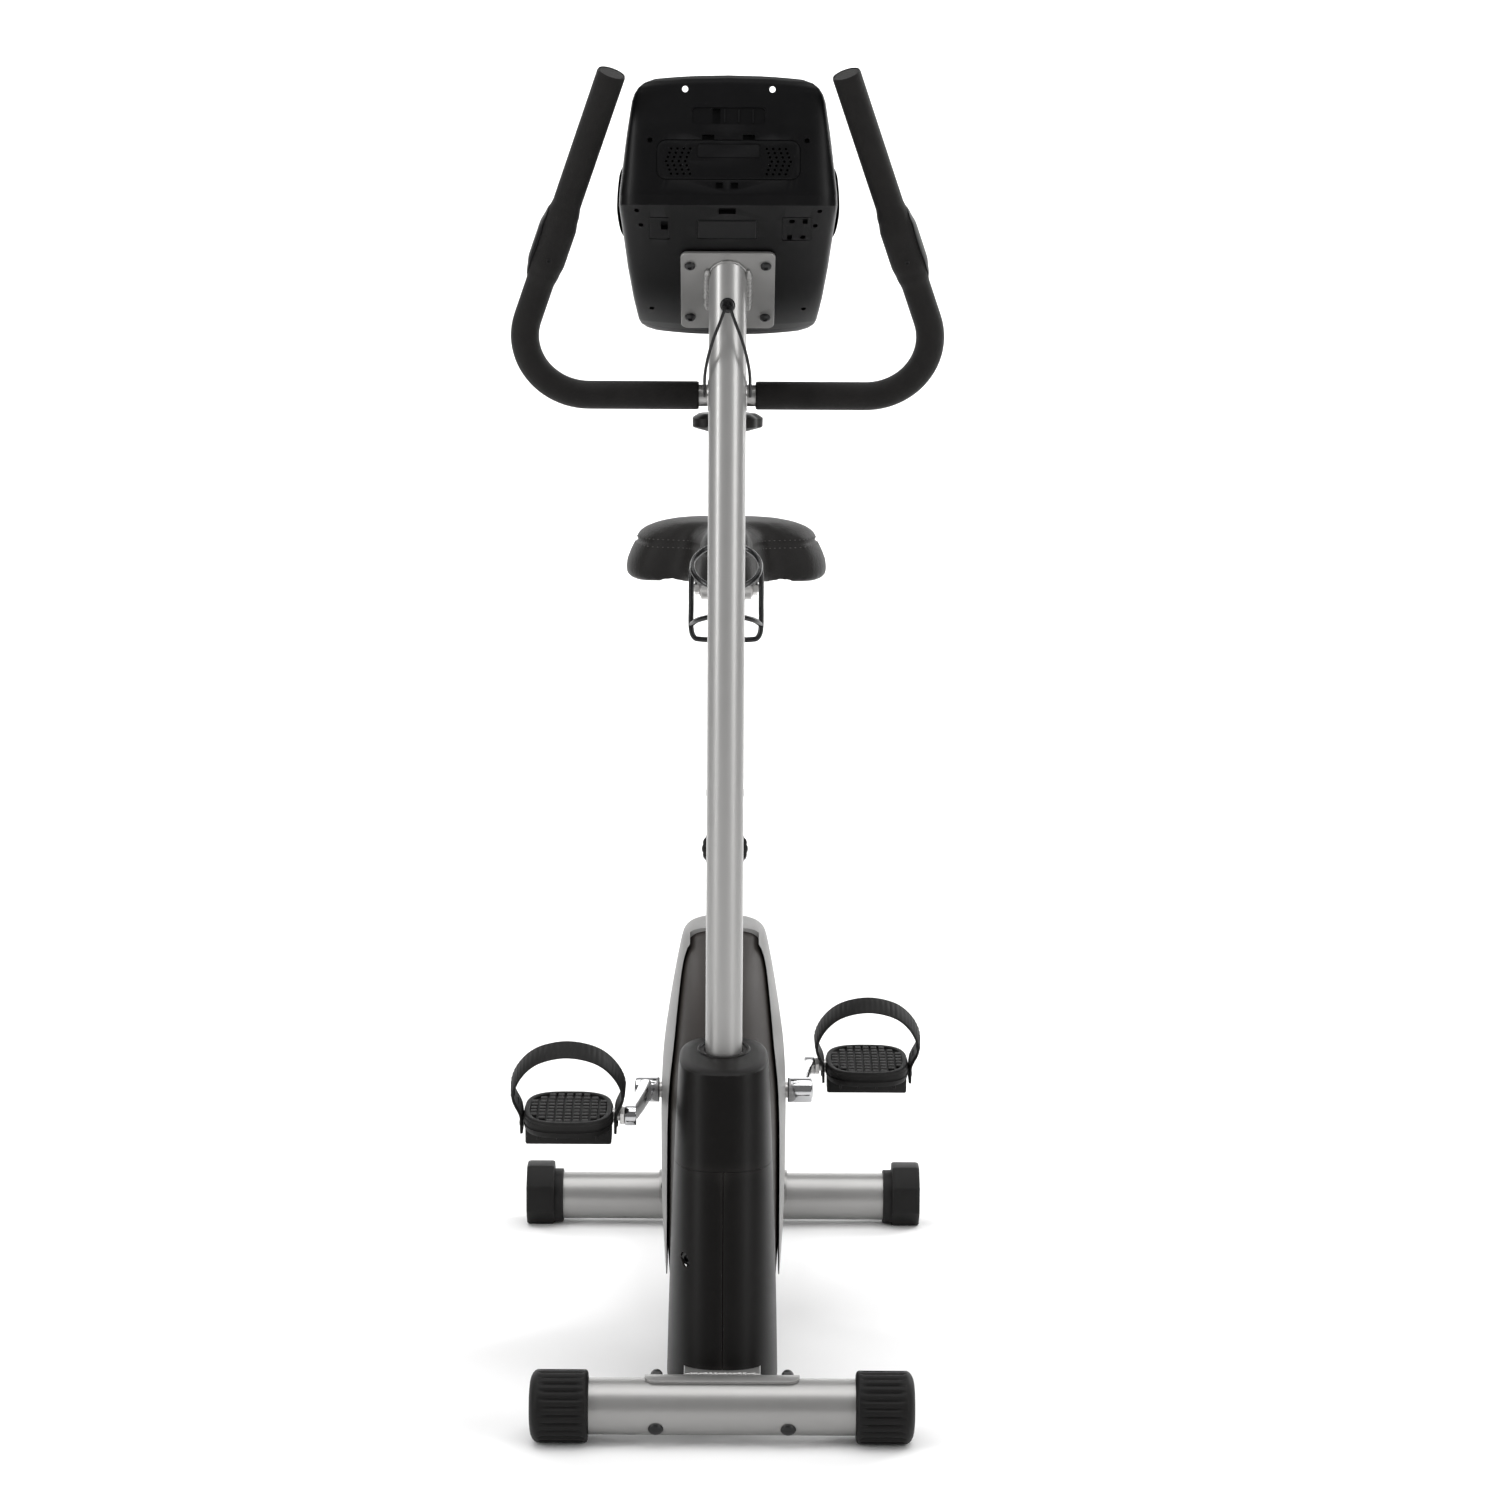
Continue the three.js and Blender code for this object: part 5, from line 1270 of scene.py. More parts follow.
def pocket(run, share, x, width, height, depth, radius=1.2):
    """A tool that cuts a rounded pocket into a back face."""
    return raised(run, share, x, width, height, -depth, 3.0, radius, 0.0)


def groove(run, share, x, width, height, radius, wide=1.2, depth=1.1):
    """A shallow groove that follows a rounded rectangle on a back face."""
    outer = rounded_rect(width * MM, height * MM, radius * MM, 6)
    inner = rounded_rect((width - 2 * wide) * MM, (height - 2 * wide) * MM,
                         max(radius - wide, 0.3) * MM, 6)
    low, high = -depth * MM, 3 * MM
    rings = [[Vector((*p, z)) for p in loop] for loop, z in (
        (outer, low), (outer, high), (inner, high), (inner, low))]
    return placed(skin(rings, closed=True), back_frame(run, share, x))


def round_holes(places, radius, depth=8.0):
    """Round holes at (run, share, x) places."""
    cut = turned([(-depth * MM, radius * MM), (6 * MM, radius * MM)], 20)
    return joined(*[placed(cut, back_frame(run, share, x)) for run, share, x in places])


def sight_holes():
    """The two level holes that run through the whole console near its top."""
    return joined(*[placed(turned([(-0.05, 0.0031), (0.12, 0.0031)], 28), aim(
        (x * MM, behind(100), 1.3385), (0, 1, 0.03))) for x in (-43, 43)])


def console_details():
    """Tools that cut the back's recesses, sockets, slots, grilles and screw holes."""
    up, low = UPPER_BACK, LOWER_BACK
    grille = []
    for sign in (-1, 1):
        for row in range(7):
            for column in range(4):
                lean = abs(row - 3) * 1.6
                grille.append((up, 0.30 + (row - 3) * 0.040, sign * (
                    61 - lean - column * 6.2)))
    ports = [
        pocket(low, 0.875, 63, 6, 6, 4, 2.9), pocket(low, 0.875, 76, 5, 8, 4, 0.8),
        pocket(low, 0.750, 61, 5, 8, 4, 0.8), pocket(low, 0.750, 74, 6, 6, 4, 2.9)]
    return [
        pocket(up, 0.735, 0, 72, 17, 1.6, 4), pocket(up, 0.735, -12, 8, 15, 6, 0.8),
        pocket(up, 0.530, -20, 12, 5, 6, 0.8), pocket(up, 0.530, 20, 12, 5, 6, 0.8),
        groove(up, 0.315, 0, 142, 40, 10), groove(up, 0.400, 0, 62, 14, 3, 0.6, 0.5),
        pocket(up, 0.070, -9, 7, 6, 5, 0.6), pocket(up, 0.070, 6, 7, 6, 5, 0.6),
        pocket(low, 0.955, -1, 17, 9, 5, 1), groove(low, 0.810, -1, 60, 29, 2, 0.7),
        groove(low, 0.815, -68, 21, 34, 2), pocket(low, 0.840, -63, 7, 13, 5, 0.8),
        groove(low, 0.815, 68, 30, 36, 2), *ports,
        round_holes(grille, 1.25), round_holes([
            (up, 0.50, -77), (up, 0.50, 77), (low, 0.945, -90), (low, 0.945, 90),
            (low, 0.835, -86), (low, 0.835, 86), (low, 0.15, -77), (low, 0.15, 77),
            (low, 0.05, -42), (low, 0.05, 42)], 2.6, 7),
        sight_holes()]


def add_console():
    outer = console_body(0)
    inner = console_body(-3)
    shell = carve(outer, "DIFFERENCE", inner)
    plug = placed(turned([(-0.02, 0.015), (0.02, 0.015)], 40), PLATE_FRAME)
    front_side = placed(block((-0.4, -0.4, -DISPLAY_DEPTH - 0.0003), (0.4, 0.4, 0.4), 0),
                        DISPLAY_FRAME)
    back_side = placed(block((-0.4, -0.4, -0.4), (0.4, 0.4, -DISPLAY_DEPTH), 0),
                       DISPLAY_FRAME)
    solid_back = carve(outer, "DIFFERENCE", console_body(-5.0), front_side, plug)
    back = carve(solid_back, "DIFFERENCE", *console_details())
    lid = raised(LOWER_BACK, 0.810, -1, 57, 26, -0.8, 0.5, 1.5)
    ribs = [raised(UPPER_BACK, 0.735, x, 1.2, 13, -1.7, -0.5, 0.4) for x in (-4, 10, 24)]
    new_piece("console_shell", *joined(back, lid, *ribs), CONSOLE, "frame",
              "console_plastic", ["console_back"], 28)
    add_console_face(shell, back_side)


def face_block(x0, y0, x1, y1, low, high, radius=0.002, ease=0.0006):
    """A rounded pad on the display face, from its own X and Y corners."""
    outline = rounded_rect(x1 - x0, y1 - y0, radius, 4, (x0 + x1) / 2, (y0 + y1) / 2)
    return placed(prism(outline, low, high, ease), DISPLAY_FRAME)


def add_console_face(shell, back_side):
    window = face_block(-WINDOW_HALF, WINDOW_TOP, WINDOW_HALF, WINDOW_LOW, -0.012, 0.012,
                        0.004, 0)
    keys = [-1, 0, 1]
    key_holes = [face_block(
        i * KEY_PITCH - KEY_HALF - 0.0005, KEY_Y - KEY_DEEP - 0.0005,
        i * KEY_PITCH + KEY_HALF + 0.0005, KEY_Y + KEY_DEEP + 0.0005, -0.012, 0.012, 0.0025,
        0) for i in keys]
    face = carve(shell, "DIFFERENCE", back_side, window, *key_holes, sight_holes())
    lips = []
    for sign in (-1, 1):
        edge = smooth_path([(sign * x * MM, behind(y), z * MM) for x, y, z in (
            (102.5, 166, 1266), (106.5, 169, 1258), (108.8, 176, 1240), (109.3, 184, 1222),
            (106.5, 192, 1205), (102.5, 195, 1197))], 40)
        lips.append(swept(edge, lambda share: [
            (0.0014 * math.cos(a), 0.009 * math.sin(a)) for a in (
                i * math.pi / 12 for i in range(24))], (0, 1, 0)))
    bezel_out = rounded_rect(0.134, 0.110, 0.007, 6, 0, (WINDOW_TOP + WINDOW_LOW) / 2)
    bezel_in = rounded_rect(0.1236, 0.0996, 0.004, 6, 0, (WINDOW_TOP + WINDOW_LOW) / 2)
    rings = [[Vector((*p, z)) for p in loop] for loop, z in (
        (bezel_out, -0.0008), (bezel_out, 0.0006), (bezel_in, 0.0012), (bezel_in, -0.0008))]
    bezel = placed(skin(rings, closed=True), DISPLAY_FRAME)
    new_piece("console_face", *joined(face, bezel, *lips), CONSOLE, "frame", "console_plastic",
              ["console_front"], 28)
    glass = face_block(-WINDOW_HALF + 0.0003, WINDOW_TOP + 0.0003, WINDOW_HALF - 0.0003,
                       WINDOW_LOW - 0.0003, -0.003, -0.0006, 0.0038, 0.0003)
    new_piece("display_lens", *glass, GLASS, "frame", "display_glass", ["display_window"], 30)
    segments = []
    for row, y in enumerate((-0.074, -0.050, -0.026)):
        for i in range(12):
            height = 0.003 + 0.008 * abs(math.sin(1.7 * i + row))
            x = -0.050 + i * 0.0091
            segments.append(face_block(x, y, x + 0.006, y + height, -0.0008, -0.00045,
                                       0.0005, 0.0001))
    new_piece("display_segments", *joined(*segments), SYMBOL, "frame", "display_glass", (),
              30)
    for i, name in zip(keys, ("up", "start", "down")):
        x = i * KEY_PITCH
        cap = face_block(x - KEY_HALF, KEY_Y - KEY_DEEP, x + KEY_HALF, KEY_Y + KEY_DEEP,
                         -0.0035, 0.0015, 0.0022, 0.0009)
        new_piece(f"button_{name}", *cap, RUBBER, f"key_{name}", "moulded_rubber",
                  [f"key_{name}"], 34)
        if name == "start":
            sign_outline = circle(0.0035, 24, x, KEY_Y)
        else:
            flip = -1 if name == "up" else 1
            foot = KEY_Y - flip * 0.0025
            sign_outline = [(x - 0.0045, foot), (x + 0.0045, foot), (x, KEY_Y + flip * 0.0035)]
            if flip < 0:
                sign_outline.reverse()
        mark = placed(prism(sign_outline, 0.0013, 0.0018), DISPLAY_FRAME)
        new_piece(f"button_mark_{name}", *mark, SYMBOL, f"key_{name}", "moulded_rubber", (),
                  30)


# ------------------------------------------------------------------ handlebar

BAR_LEAN = math.radians(21.2)
BAR_FRAME = Matrix.Translation((0, BAR_Y, BAR_Z)) @ Matrix.Rotation(BAR_LEAN, 4, "X")
BAR_CORNER, BAR_CORNER_X = 0.064, 0.2299
BAR_END_X, BAR_END_UP = 0.1145, 0.343
GRIP_RADIUS, GRIP_START = 0.0144, 0.0286
GRIP_SLOPE = (BAR_CORNER_X - BAR_END_X) / BAR_END_UP
SENSOR_UP = 0.164
SENSOR_SINK = 0.0012


def bar_side(sign, count=140):
    """One side of the bar's centre line in its own plane, from the middle to its end."""
    turn = math.atan2(BAR_END_UP, BAR_END_X - BAR_CORNER_X)
    start = BAR_CORNER_X - BAR_CORNER * math.tan(turn / 2)
    points = [Vector((start * i / 8, 0, 0)) for i in range(8)]
    for i in range(25):
        a = turn * i / 24
        points.append(Vector((start + BAR_CORNER * math.sin(a), 0,
                              BAR_CORNER * (1 - math.cos(a)))))
    end = Vector((BAR_END_X, 0, BAR_END_UP))
    last = points[-1]
    points += [last.lerp(end, i / 10) for i in range(1, 11)]
    return [Vector((sign * p.x, 0, p.z)) for p in evenly(points, count)]


def swelling(point):
    """How far the grip stands proud round the pulse sensor, in metres."""
    rise, edge = 0.0, 0.013
    for low, high, amount in ((0.122, 0.208, 0.0019), (0.134, 0.194, 0.0017)):
        t = min((point.z - low) / edge, (high - point.z) / edge, 1.0)
        if t > 0:
            rise += amount * (t * t * (3 - 2 * t))
    return rise


def hollow_sweep(path, outer, bore, sides=48):
    """A tube along a path whose outside radius is a function of the point on the path."""
    stations = frames_along(path, (0, 1, 0))
    angles = [2 * math.pi * i / sides for i in range(sides)]
    rings = [[p + s * outer(p) * math.cos(a) + r * outer(p) * math.sin(a) for a in angles]
             for p, s, r in stations]
    rings += [[p + s * bore * math.cos(a) + r * bore * math.sin(a) for a in angles]
              for p, s, r in reversed(stations)]
    return skin(rings, closed=True)


def add_handlebar():
    left = bar_side(1)
    middle = [Vector((-p.x, p.y, p.z)) for p in reversed(left[1:])]
    spine = (middle + left)[4:-4]
    bar = hollow_sweep(spine, lambda p: BAR_RADIUS, BAR_RADIUS - 0.0016, 32)
    new_piece("bar", *placed(bar, BAR_FRAME), ZINC, "handlebar", "zinc_steel",
              ["handlebar"], 35)
    for name, sign in SIDES.items():
        path = [p for p in bar_side(sign, 260) if p.z > 0.001 or abs(p.x) >= GRIP_START]

        def outer(point, end=path[-1], start=path[0]):
            lip = min((point - end).length, (point - start).length)
            ease = 0.0007 * max(0.0, 1 - lip / 0.0012)
            return GRIP_RADIUS - ease + swelling(point)

        foam = hollow_sweep(path, outer, 0.0132, 56)
        end = (path[-1] - path[-2]).normalized()
        plug = placed(turned([
            (-0.010, 0.0129), (-0.0012, 0.0129), (-0.0004, 0.0122), (-0.0004, 0.0004)], 40),
            aim(path[-1], end))
        foam = joined(foam, plug)
        new_piece(f"foam_{name}", *placed(foam, BAR_FRAME), FOAM, "handlebar", "foam_grip",
                  [f"grip_{name}"], 40)
        add_sensor(name, sign)
    add_clamp()


def palm_shell(centre, along, facing, long, spread, proud):
    """A lens-shaped plate that follows the swollen grip, thickest in its middle."""
    deep = along.cross(facing)
    rings = []
    for i in range(41):
        share = i / 40
        point = centre + along * (share - 0.5) * long
        radius = GRIP_RADIUS + swelling(point) + 0.0002
        wide = math.radians(spread) * math.sqrt(max(0.0, 1 - (2 * share - 1) ** 2)) + 0.02
        outer = radius + proud * (1 - (2 * share - 1) ** 4)
        fan = [wide * (k / 8 - 1) for k in range(17)]
        ring = [point + (facing * math.cos(a) + deep * math.sin(a)) * outer for a in fan]
        ring += [point + (facing * math.cos(a) + deep * math.sin(a)) * (radius - SENSOR_SINK)
                 for a in reversed(fan)]
        rings.append(ring)
    return skin(rings)


def add_sensor(name, sign):
    """The palm sensor: a plastic housing on the outer side, a steel plate facing the rider."""
    along = Vector((-sign * GRIP_SLOPE, 0, 1)).normalized()
    centre = Vector((sign * (BAR_END_X + (BAR_END_UP - SENSOR_UP) * GRIP_SLOPE), 0, SENSOR_UP))
    outward = (Vector((sign, 0, 0)) - along * along.x * sign).normalized()
    rear = Vector((0, 1, 0))
    housing_part = palm_shell(centre, along, outward, 0.078, 34, 0.0016)
    screws = []
    point = centre - along * 0.012
    reach = GRIP_RADIUS + swelling(point)
    head = turned([(-0.002, 0.0024), (0.0003, 0.0024), (0.0007, 0.0016), (0.0001, 0.0012),
                   (0.0001, 0.0001)], 20)
    for side, out in ((Vector((0, -1, 0)), reach), (Vector((0, 1, 0)), reach + 0.0012)):
        screws.append(placed(head, aim(point + side * out, side)))
    new_piece(f"sensor_housing_{name}", *placed(joined(housing_part, *screws), BAR_FRAME),
              CONSOLE, "handlebar", "console_plastic", (), 36)
    steel = palm_shell(
        centre, along, (rear + outward * 0.35).normalized(), 0.070, 50, 0.0010)
    new_piece(f"palm_plate_{name}", *placed(steel, BAR_FRAME), SENSOR, "handlebar",
              "sensor_steel", [f"pulse_sensor_{name}"], 40)


def add_clamp():
    """The bar's clamp on the mast: a split ring, a block round the mast and the knob's ear."""
    knob_y = behind(236)
    ring = placed(turned([
        (-0.020, 0.0114), (-0.020, 0.0155), (-0.0192, 0.0160), (0.0192, 0.0160),
        (0.020, 0.0155), (0.020, 0.0114)], 64, closed=True), across(0, BAR_Y, BAR_Z))
    body = block((-0.014, BAR_Y - 0.035, BAR_Z - 0.013), (0.014, BAR_Y, BAR_Z + 0.013),
                 0.0015)
    ear = block((-0.010, BAR_Y, BAR_Z - 0.008), (0.010, knob_y + 0.010, BAR_Z + 0.006),
                0.0015)
    mast_hole = placed(turned([(0.9, 0.0193), (1.2, 0.0193)], 72), Matrix.Translation(
        (0, MAST_Y, 0)))
    bar_hole = placed(turned([(-0.1, 0.0114), (0.1, 0.0114)], 72), across(0, BAR_Y, BAR_Z))
    stud_hole = placed(turned([(0.9, 0.0043), (1.2, 0.0043)], 32), Matrix.Translation(
        (0, knob_y, 0)))
    block_part = carve(body, "UNION", ear)
    block_part = carve(block_part, "DIFFERENCE", bar_hole, mast_hole, stud_hole)
    beads = []
    for sign in (-1, 1):
        for rise, seed in ((1, 60), (-1, 64)):
            beads.append(weld([
                Vector((sign * 0.0145, BAR_Y - 0.016 + 0.0035 * i,
                        BAR_Z + rise * (0.0135 + 0.0004 * i))) for i in range(6)],
                0.0021, seed + sign))
    new_piece("bar_bracket", *joined(ring, block_part, *beads), ZINC, "frame", "zinc_steel",
              ["bar_clamp"], 32)

    def lobed(angle, radius, z):
        if radius < 0.022:
            return radius
        return radius - 0.0022 * abs(math.sin(angle * 3.5)) ** 5

    knob = turned([
        (-0.0098, 0.0005), (-0.0098, 0.0190), (-0.0093, 0.0215), (-0.0056, 0.0350),
        (-0.0044, 0.0366), (0.0042, 0.0368), (0.0052, 0.0358), (0.0086, 0.0300),
        (0.0090, 0.0285), (0.0090, 0.0160), (0.0084, 0.0150),
        (0.0084, 0.0090), (0.0120, 0.0085), (0.0120, 0.0040), (0.0375, 0.0040),
        (0.038, 0.0036)], 168, lobed)
    new_piece("adjusting_knob", *placed(knob, Matrix.Translation((0, knob_y, 1.006))),
              SHROUD, "clamp_knob", "shroud_plastic", ["clamp_knob"], 40)


# ------------------------------------------------------------------ bottle cage

CAGE_Y = behind(228)
CAGE_RING_Z, CAGE_RING, CAGE_WIRE = 0.858, 0.035, 0.0028
CAGE_TILT = math.radians(35)


def wire(points, count=90):
    """A bent wire of the cage through some points."""
    return swept(smooth_path(points, count), round_section(CAGE_WIRE, 20))


def add_cage():
    y, wide = CAGE_Y, CAGE_RING + 0.001
    spine_y = MAST_Y + MAST_RADIUS + 0.0003
    loop = [Matrix.Translation((0, y, CAGE_RING_Z)) @ Matrix.Rotation(CAGE_TILT, 4, "X")
            @ Vector((CAGE_RING * math.cos(a), CAGE_RING * math.sin(a), 0))
            for a in (2 * math.pi * i / 72 for i in range(73))]
    hoop = wire_ring(loop, CAGE_WIRE, 20)
    stirrup = wire([
        (-CAGE_RING, y, CAGE_RING_Z), (-wide, y, 0.840), (-wide, y, 0.820),
        (-wide, y, 0.795), (-0.033, y, 0.785), (-0.026, y, 0.7825), (0, y, 0.782),
        (0.026, y, 0.7825), (0.033, y, 0.785), (wide, y, 0.795), (wide, y, 0.820),
        (wide, y, 0.840), (CAGE_RING, y, CAGE_RING_Z)], 130)
    cradle = wire([
        (-wide, y, 0.798), (-0.026, y - 0.024, 0.806), (0, spine_y + 0.0025, 0.812),
        (0.026, y - 0.024, 0.806), (wide, y, 0.798)])
    spine = block((-0.008, spine_y - 0.0002, 0.802), (0.008, spine_y + 0.0035, 0.872), 0.0012)
    reach = CAGE_RING * math.cos(CAGE_TILT)
    height = CAGE_RING_Z - CAGE_RING * math.sin(CAGE_TILT)
    arm = tube((0, spine_y + 0.001, height), (0, y - reach, height), 0.0034)
    head = turned([(0, 0.0046), (0.0012, 0.0046), (0.0026, 0.0036), (0.0030, 0.0018),
                   (0.0022, 0.0014), (0.0022, 0.0001)], 28)
    heads = [placed(head, aim((0, spine_y + 0.0034, z), (0, 1, 0))) for z in (0.814, 0.862)]
    new_piece("bottle_holder", *joined(hoop, stirrup, cradle, spine, arm, *heads), GLOSS,
              "frame", "black_paint", ["bottle_cage"], 40)


# ------------------------------------------------------------------ seat tube and post

PIN_STATION, PIN_PITCH = 257, 25
POST_LOW, POST_HIGH = 120, 557.6


def seat_turned(profile):
    """A ring turned about the seat tube; its profile is (station, radius) pairs in mm."""
    metres = [(z * MM, r * MM) for z, r in profile]
    return placed(turned(metres, 56, closed=True), aim(seat_point(0), SEAT_DIRECTION))


def pin_turned(profile, segments=48, wobble=None):
    """A body turned about the seat pin; its profile is (forward, radius) pairs in mm."""
    metres = [(z * MM, r * MM) for z, r in profile]
    return placed(turned(metres, segments, wobble), aim(seat_point(PIN_STATION), SEAT_FRONT))


def add_seat_frame():
    shell = turned([(-0.034, 0.017), (-0.034, 0.0195), (-0.0335, 0.020), (0.0335, 0.020),
                    (0.034, 0.0195), (0.034, 0.017)], 56, closed=True)
    strut = tube((0, CRANK_Y + 0.0075, CRANK_Z - 0.0172), (0, behind(430), 0.0745), 0.012)
    column = seat_turned([(19.5, 17.5), (19.5, 19.05), (321.4, 19.05), (322, 18.5),
                          (322, 17.5)])
    barrel = pin_turned([(17, 7.4), (18, 8), (27.2, 8), (28, 7.4), (28, 4.6), (26, 4.4)])
    ring = [seat_point(PIN_STATION) + SEAT_FRONT * 0.0192 + Vector((
        0.0084 * math.cos(a), 0, 0)) + SEAT_DIRECTION * 0.0084 * math.sin(a)
        for a in (i * math.pi / 16 for i in range(33))]
    ring = [p - SEAT_FRONT * 0.0016 * abs(p.x / 0.0084) for p in ring]
    new_piece("seat_column", *joined(
        placed(shell, across(0, CRANK_Y, CRANK_Z)), strut, column, barrel,
        weld(ring, 0.0020, 71, 0.004)), SILVER, "frame", "silver_paint", ["seat_tube"], 32)
    collar = seat_turned([
        (200, 16.5), (200, 17.2), (322.3, 17.2), (322.3, 20.2), (323.2, 21.05),
        (329.4, 21.05), (331, 19.8), (331, 16.6)])
    new_piece("post_collar", *collar, GLOSS, "frame", "black_gloss_plastic",
              ["seat_sleeve"], 32)
    head = seat_point(POST_HIGH)
    post = seat_turned([(POST_LOW, 13.9), (POST_LOW, 15.5), (POST_LOW + 0.5, 15.9),
                        (POST_HIGH - 9, 15.9), (POST_HIGH - 9, 13.9)])
    drills = [placed(turned([(0.005, 0.0042), (0.030, 0.0042)], 28), aim(
        seat_point(PIN_STATION + (i - 4) * PIN_PITCH), SEAT_FRONT)) for i in range(8)]
    post = carve(post, "DIFFERENCE", *drills)
    knuckle = placed(turned([
        (-0.016, 0.005), (-0.016, 0.0142), (-0.0152, 0.015), (0.0152, 0.015),
        (0.016, 0.0142), (0.016, 0.005)], 56, closed=True), aim(head, (1, 0, 0)))
    new_piece("post", *joined(post, knuckle), CHROME, "seat_post", "chrome_steel",
              ["seat_post"], 32)

    def gripped(angle, radius, z):
        return radius - 0.0009 * abs(math.sin(angle * 9)) ** 4 if radius > 0.0236 else radius

    knob = pin_turned([
        (29.9, 5), (29.9, 19), (30.3, 22.4), (31.6, 24.2), (33.2, 25), (40.8, 25),
        (42.6, 24.2), (43.6, 22), (44, 19), (44, 14.2), (46.2, 13.8), (47, 12.4), (47, 0.5)],
        162, gripped)
    new_piece("pin_knob", *knob, SHROUD, "seat_pin", "shroud_plastic", ["seat_pin_knob"], 34)
    pin = pin_turned([(16.6, 3.4), (17.6, 4), (30, 4)])
    new_piece("pull_pin", *pin, ZINC, "seat_pin", "zinc_steel", (), 32)


# ------------------------------------------------------------------ saddle

SADDLE_HEAD = seat_point(POST_HIGH)
TAIL, NOSE, HALF_TAIL, HALF_NOSE = 128, 142, 115, 32
SEAM_Z = 49
STITCH_THREAD = finish(
    "stitch_thread", (0.035, 0.033, 0.031), (0.05, 0.047, 0.045), (0.6, 0.75), grain=4000,
    bump=0.3)


def saddle_outline(inset, count=132):
    """The saddle from above, shrunk by an inset in mm, in mm from the post's head."""
    side = [
        (0, TAIL), (HALF_TAIL * 0.55, TAIL - 3), (HALF_TAIL * 0.93, TAIL - 28),
        (HALF_TAIL, TAIL - 62), (HALF_TAIL * 0.86, TAIL - 105), (HALF_NOSE * 1.6, 0),
        (HALF_NOSE * 1.08, -50), (HALF_NOSE, 30 - NOSE), (HALF_NOSE * 0.7, 8 - NOSE),
        (0, -NOSE)]
    loop = [(-x, y, 0) for x, y in side] + [(x, y, 0) for x, y in side[-2:0:-1]]
    loop.append(loop[0])
    return [Vector((p.x * (1 - inset / HALF_TAIL), p.y * (1 - inset / TAIL), 0))
            for p in smooth_path(loop, count + 1)[:-1]]


def saddle_skin(levels):
    """A closed skin over the saddle's outline at (height, inset) pairs in mm."""
    rings = [[(p + Vector((0, 0, z))) * MM + SADDLE_HEAD for p in saddle_outline(inset)]
             for z, inset in levels]
    return skin(rings)


def inflated(part, voxel, pressure, cap):
    """A pad's skin blown up a little as cloth, no point moving further than the cap."""
    pad = loose_object("pad_cloth", part)
    step = pad.modifiers.new("remesh", "REMESH")
    step.mode = "VOXEL"
    step.voxel_size = voxel
    pad.data = evaluated(pad)
    pad.modifiers.clear()
    rest = [v.co.copy() for v in pad.data.vertices]
    faces = [tuple(p.vertices) for p in pad.data.polygons]
    cloth = pad.modifiers.new("cloth", "CLOTH")
    cloth.settings.use_pressure = True
    cloth.settings.uniform_pressure_force = pressure
    cloth.settings.effector_weights.gravity = 0
    cloth.settings.quality = 6
    cloth.point_cache.frame_start = 1
    cloth.point_cache.frame_end = 20
    scene = bpy.context.scene
    for number in range(1, 21):
        scene.frame_set(number)
    blown = [v.co.copy() for v in evaluated(pad).vertices]
    scene.frame_set(1)
    bpy.data.objects.remove(pad)
    result = []
    for start, end in zip(rest, blown):
        move = end - start
        if move.length > cap:
            move *= cap / move.length
        result.append(start + move)
    return result, faces


def saddle_form(point):
    """A point moved for the dished seat, its relief channel, the flat base and the seam."""
    local = (point - SADDLE_HEAD) / MM
    top = min(1.0, max(0.0, (local.z - 44) / 22))
    dish = 5.5 * math.exp(-((local.y + 5) / 48) ** 2)
    droop = 9 * max(0.0, (-local.y - 70) / 72) ** 2
    channel = 3.2 * math.exp(-(local.x / 11) ** 2) * math.exp(-((local.y - 25) / 62) ** 4)
    local.z -= top * (dish + droop + channel)
    local.z = max(local.z, 7 - 0.06 * local.y)
    seam = math.exp(-((local.z - SEAM_Z + top * 2) / 2.6) ** 2)
    spread = math.hypot(local.x / HALF_TAIL, local.y / TAIL)
    if spread > 0.2:
        local.x *= 1 - 0.026 * seam
        local.y *= 1 - 0.022 * seam
    return local * MM + SADDLE_HEAD


def seam_line(part):
    """Points on the pad's surface all along its seam, found from inside outward."""
    tree = bvhtree.BVHTree.FromPolygons(part[0], part[1])
    inner, outer = saddle_outline(60), saddle_outline(0)
    found = []
    for a, b in zip(inner, outer):
        start = (a + Vector((0, 0, SEAM_Z - 1))) * MM + SADDLE_HEAD
        heading = ((b - a) * MM).normalized()
        hit = tree.ray_cast(start, heading)[0]
        if hit is not None:
            found.append(hit)
    return found


def stitches(line):
    """Short raised stitches just above and below the seam."""
    path = evenly(line + [line[0]], 240)
    parts = []
    for i in range(0, 238, 2):
        a, b = path[i], path[i + 1]
        out = (b - a).cross(Vector((0, 0, 1))).normalized()
        if out.dot(a - SADDLE_HEAD) < 0:
            out = -out
        for lift in (-0.0042, 0.0042):
            shift = Vector((0, 0, lift)) + out * 0.0012
            parts.append((a.lerp(b, 0.15) + shift, b.lerp(a, 0.15) + shift, out))
    return parts


def settled(parts, tree, radius):
    """Stitches laid on the surface nearest to them, as small closed capsules."""
    made = []
    for a, b, out in parts:
        a = tree.find_nearest(a)[0] + out * radius * 0.35
        b = tree.find_nearest(b)[0] + out * radius * 0.35
        length = (b - a).length
        if length < 1e-5:
            continue
        made.append(placed(turned([
            (0, radius * 0.3), (radius * 0.6, radius), (length - radius * 0.6, radius),
            (length, radius * 0.3)], 8), aim(a, b - a)))
    return joined(*made)


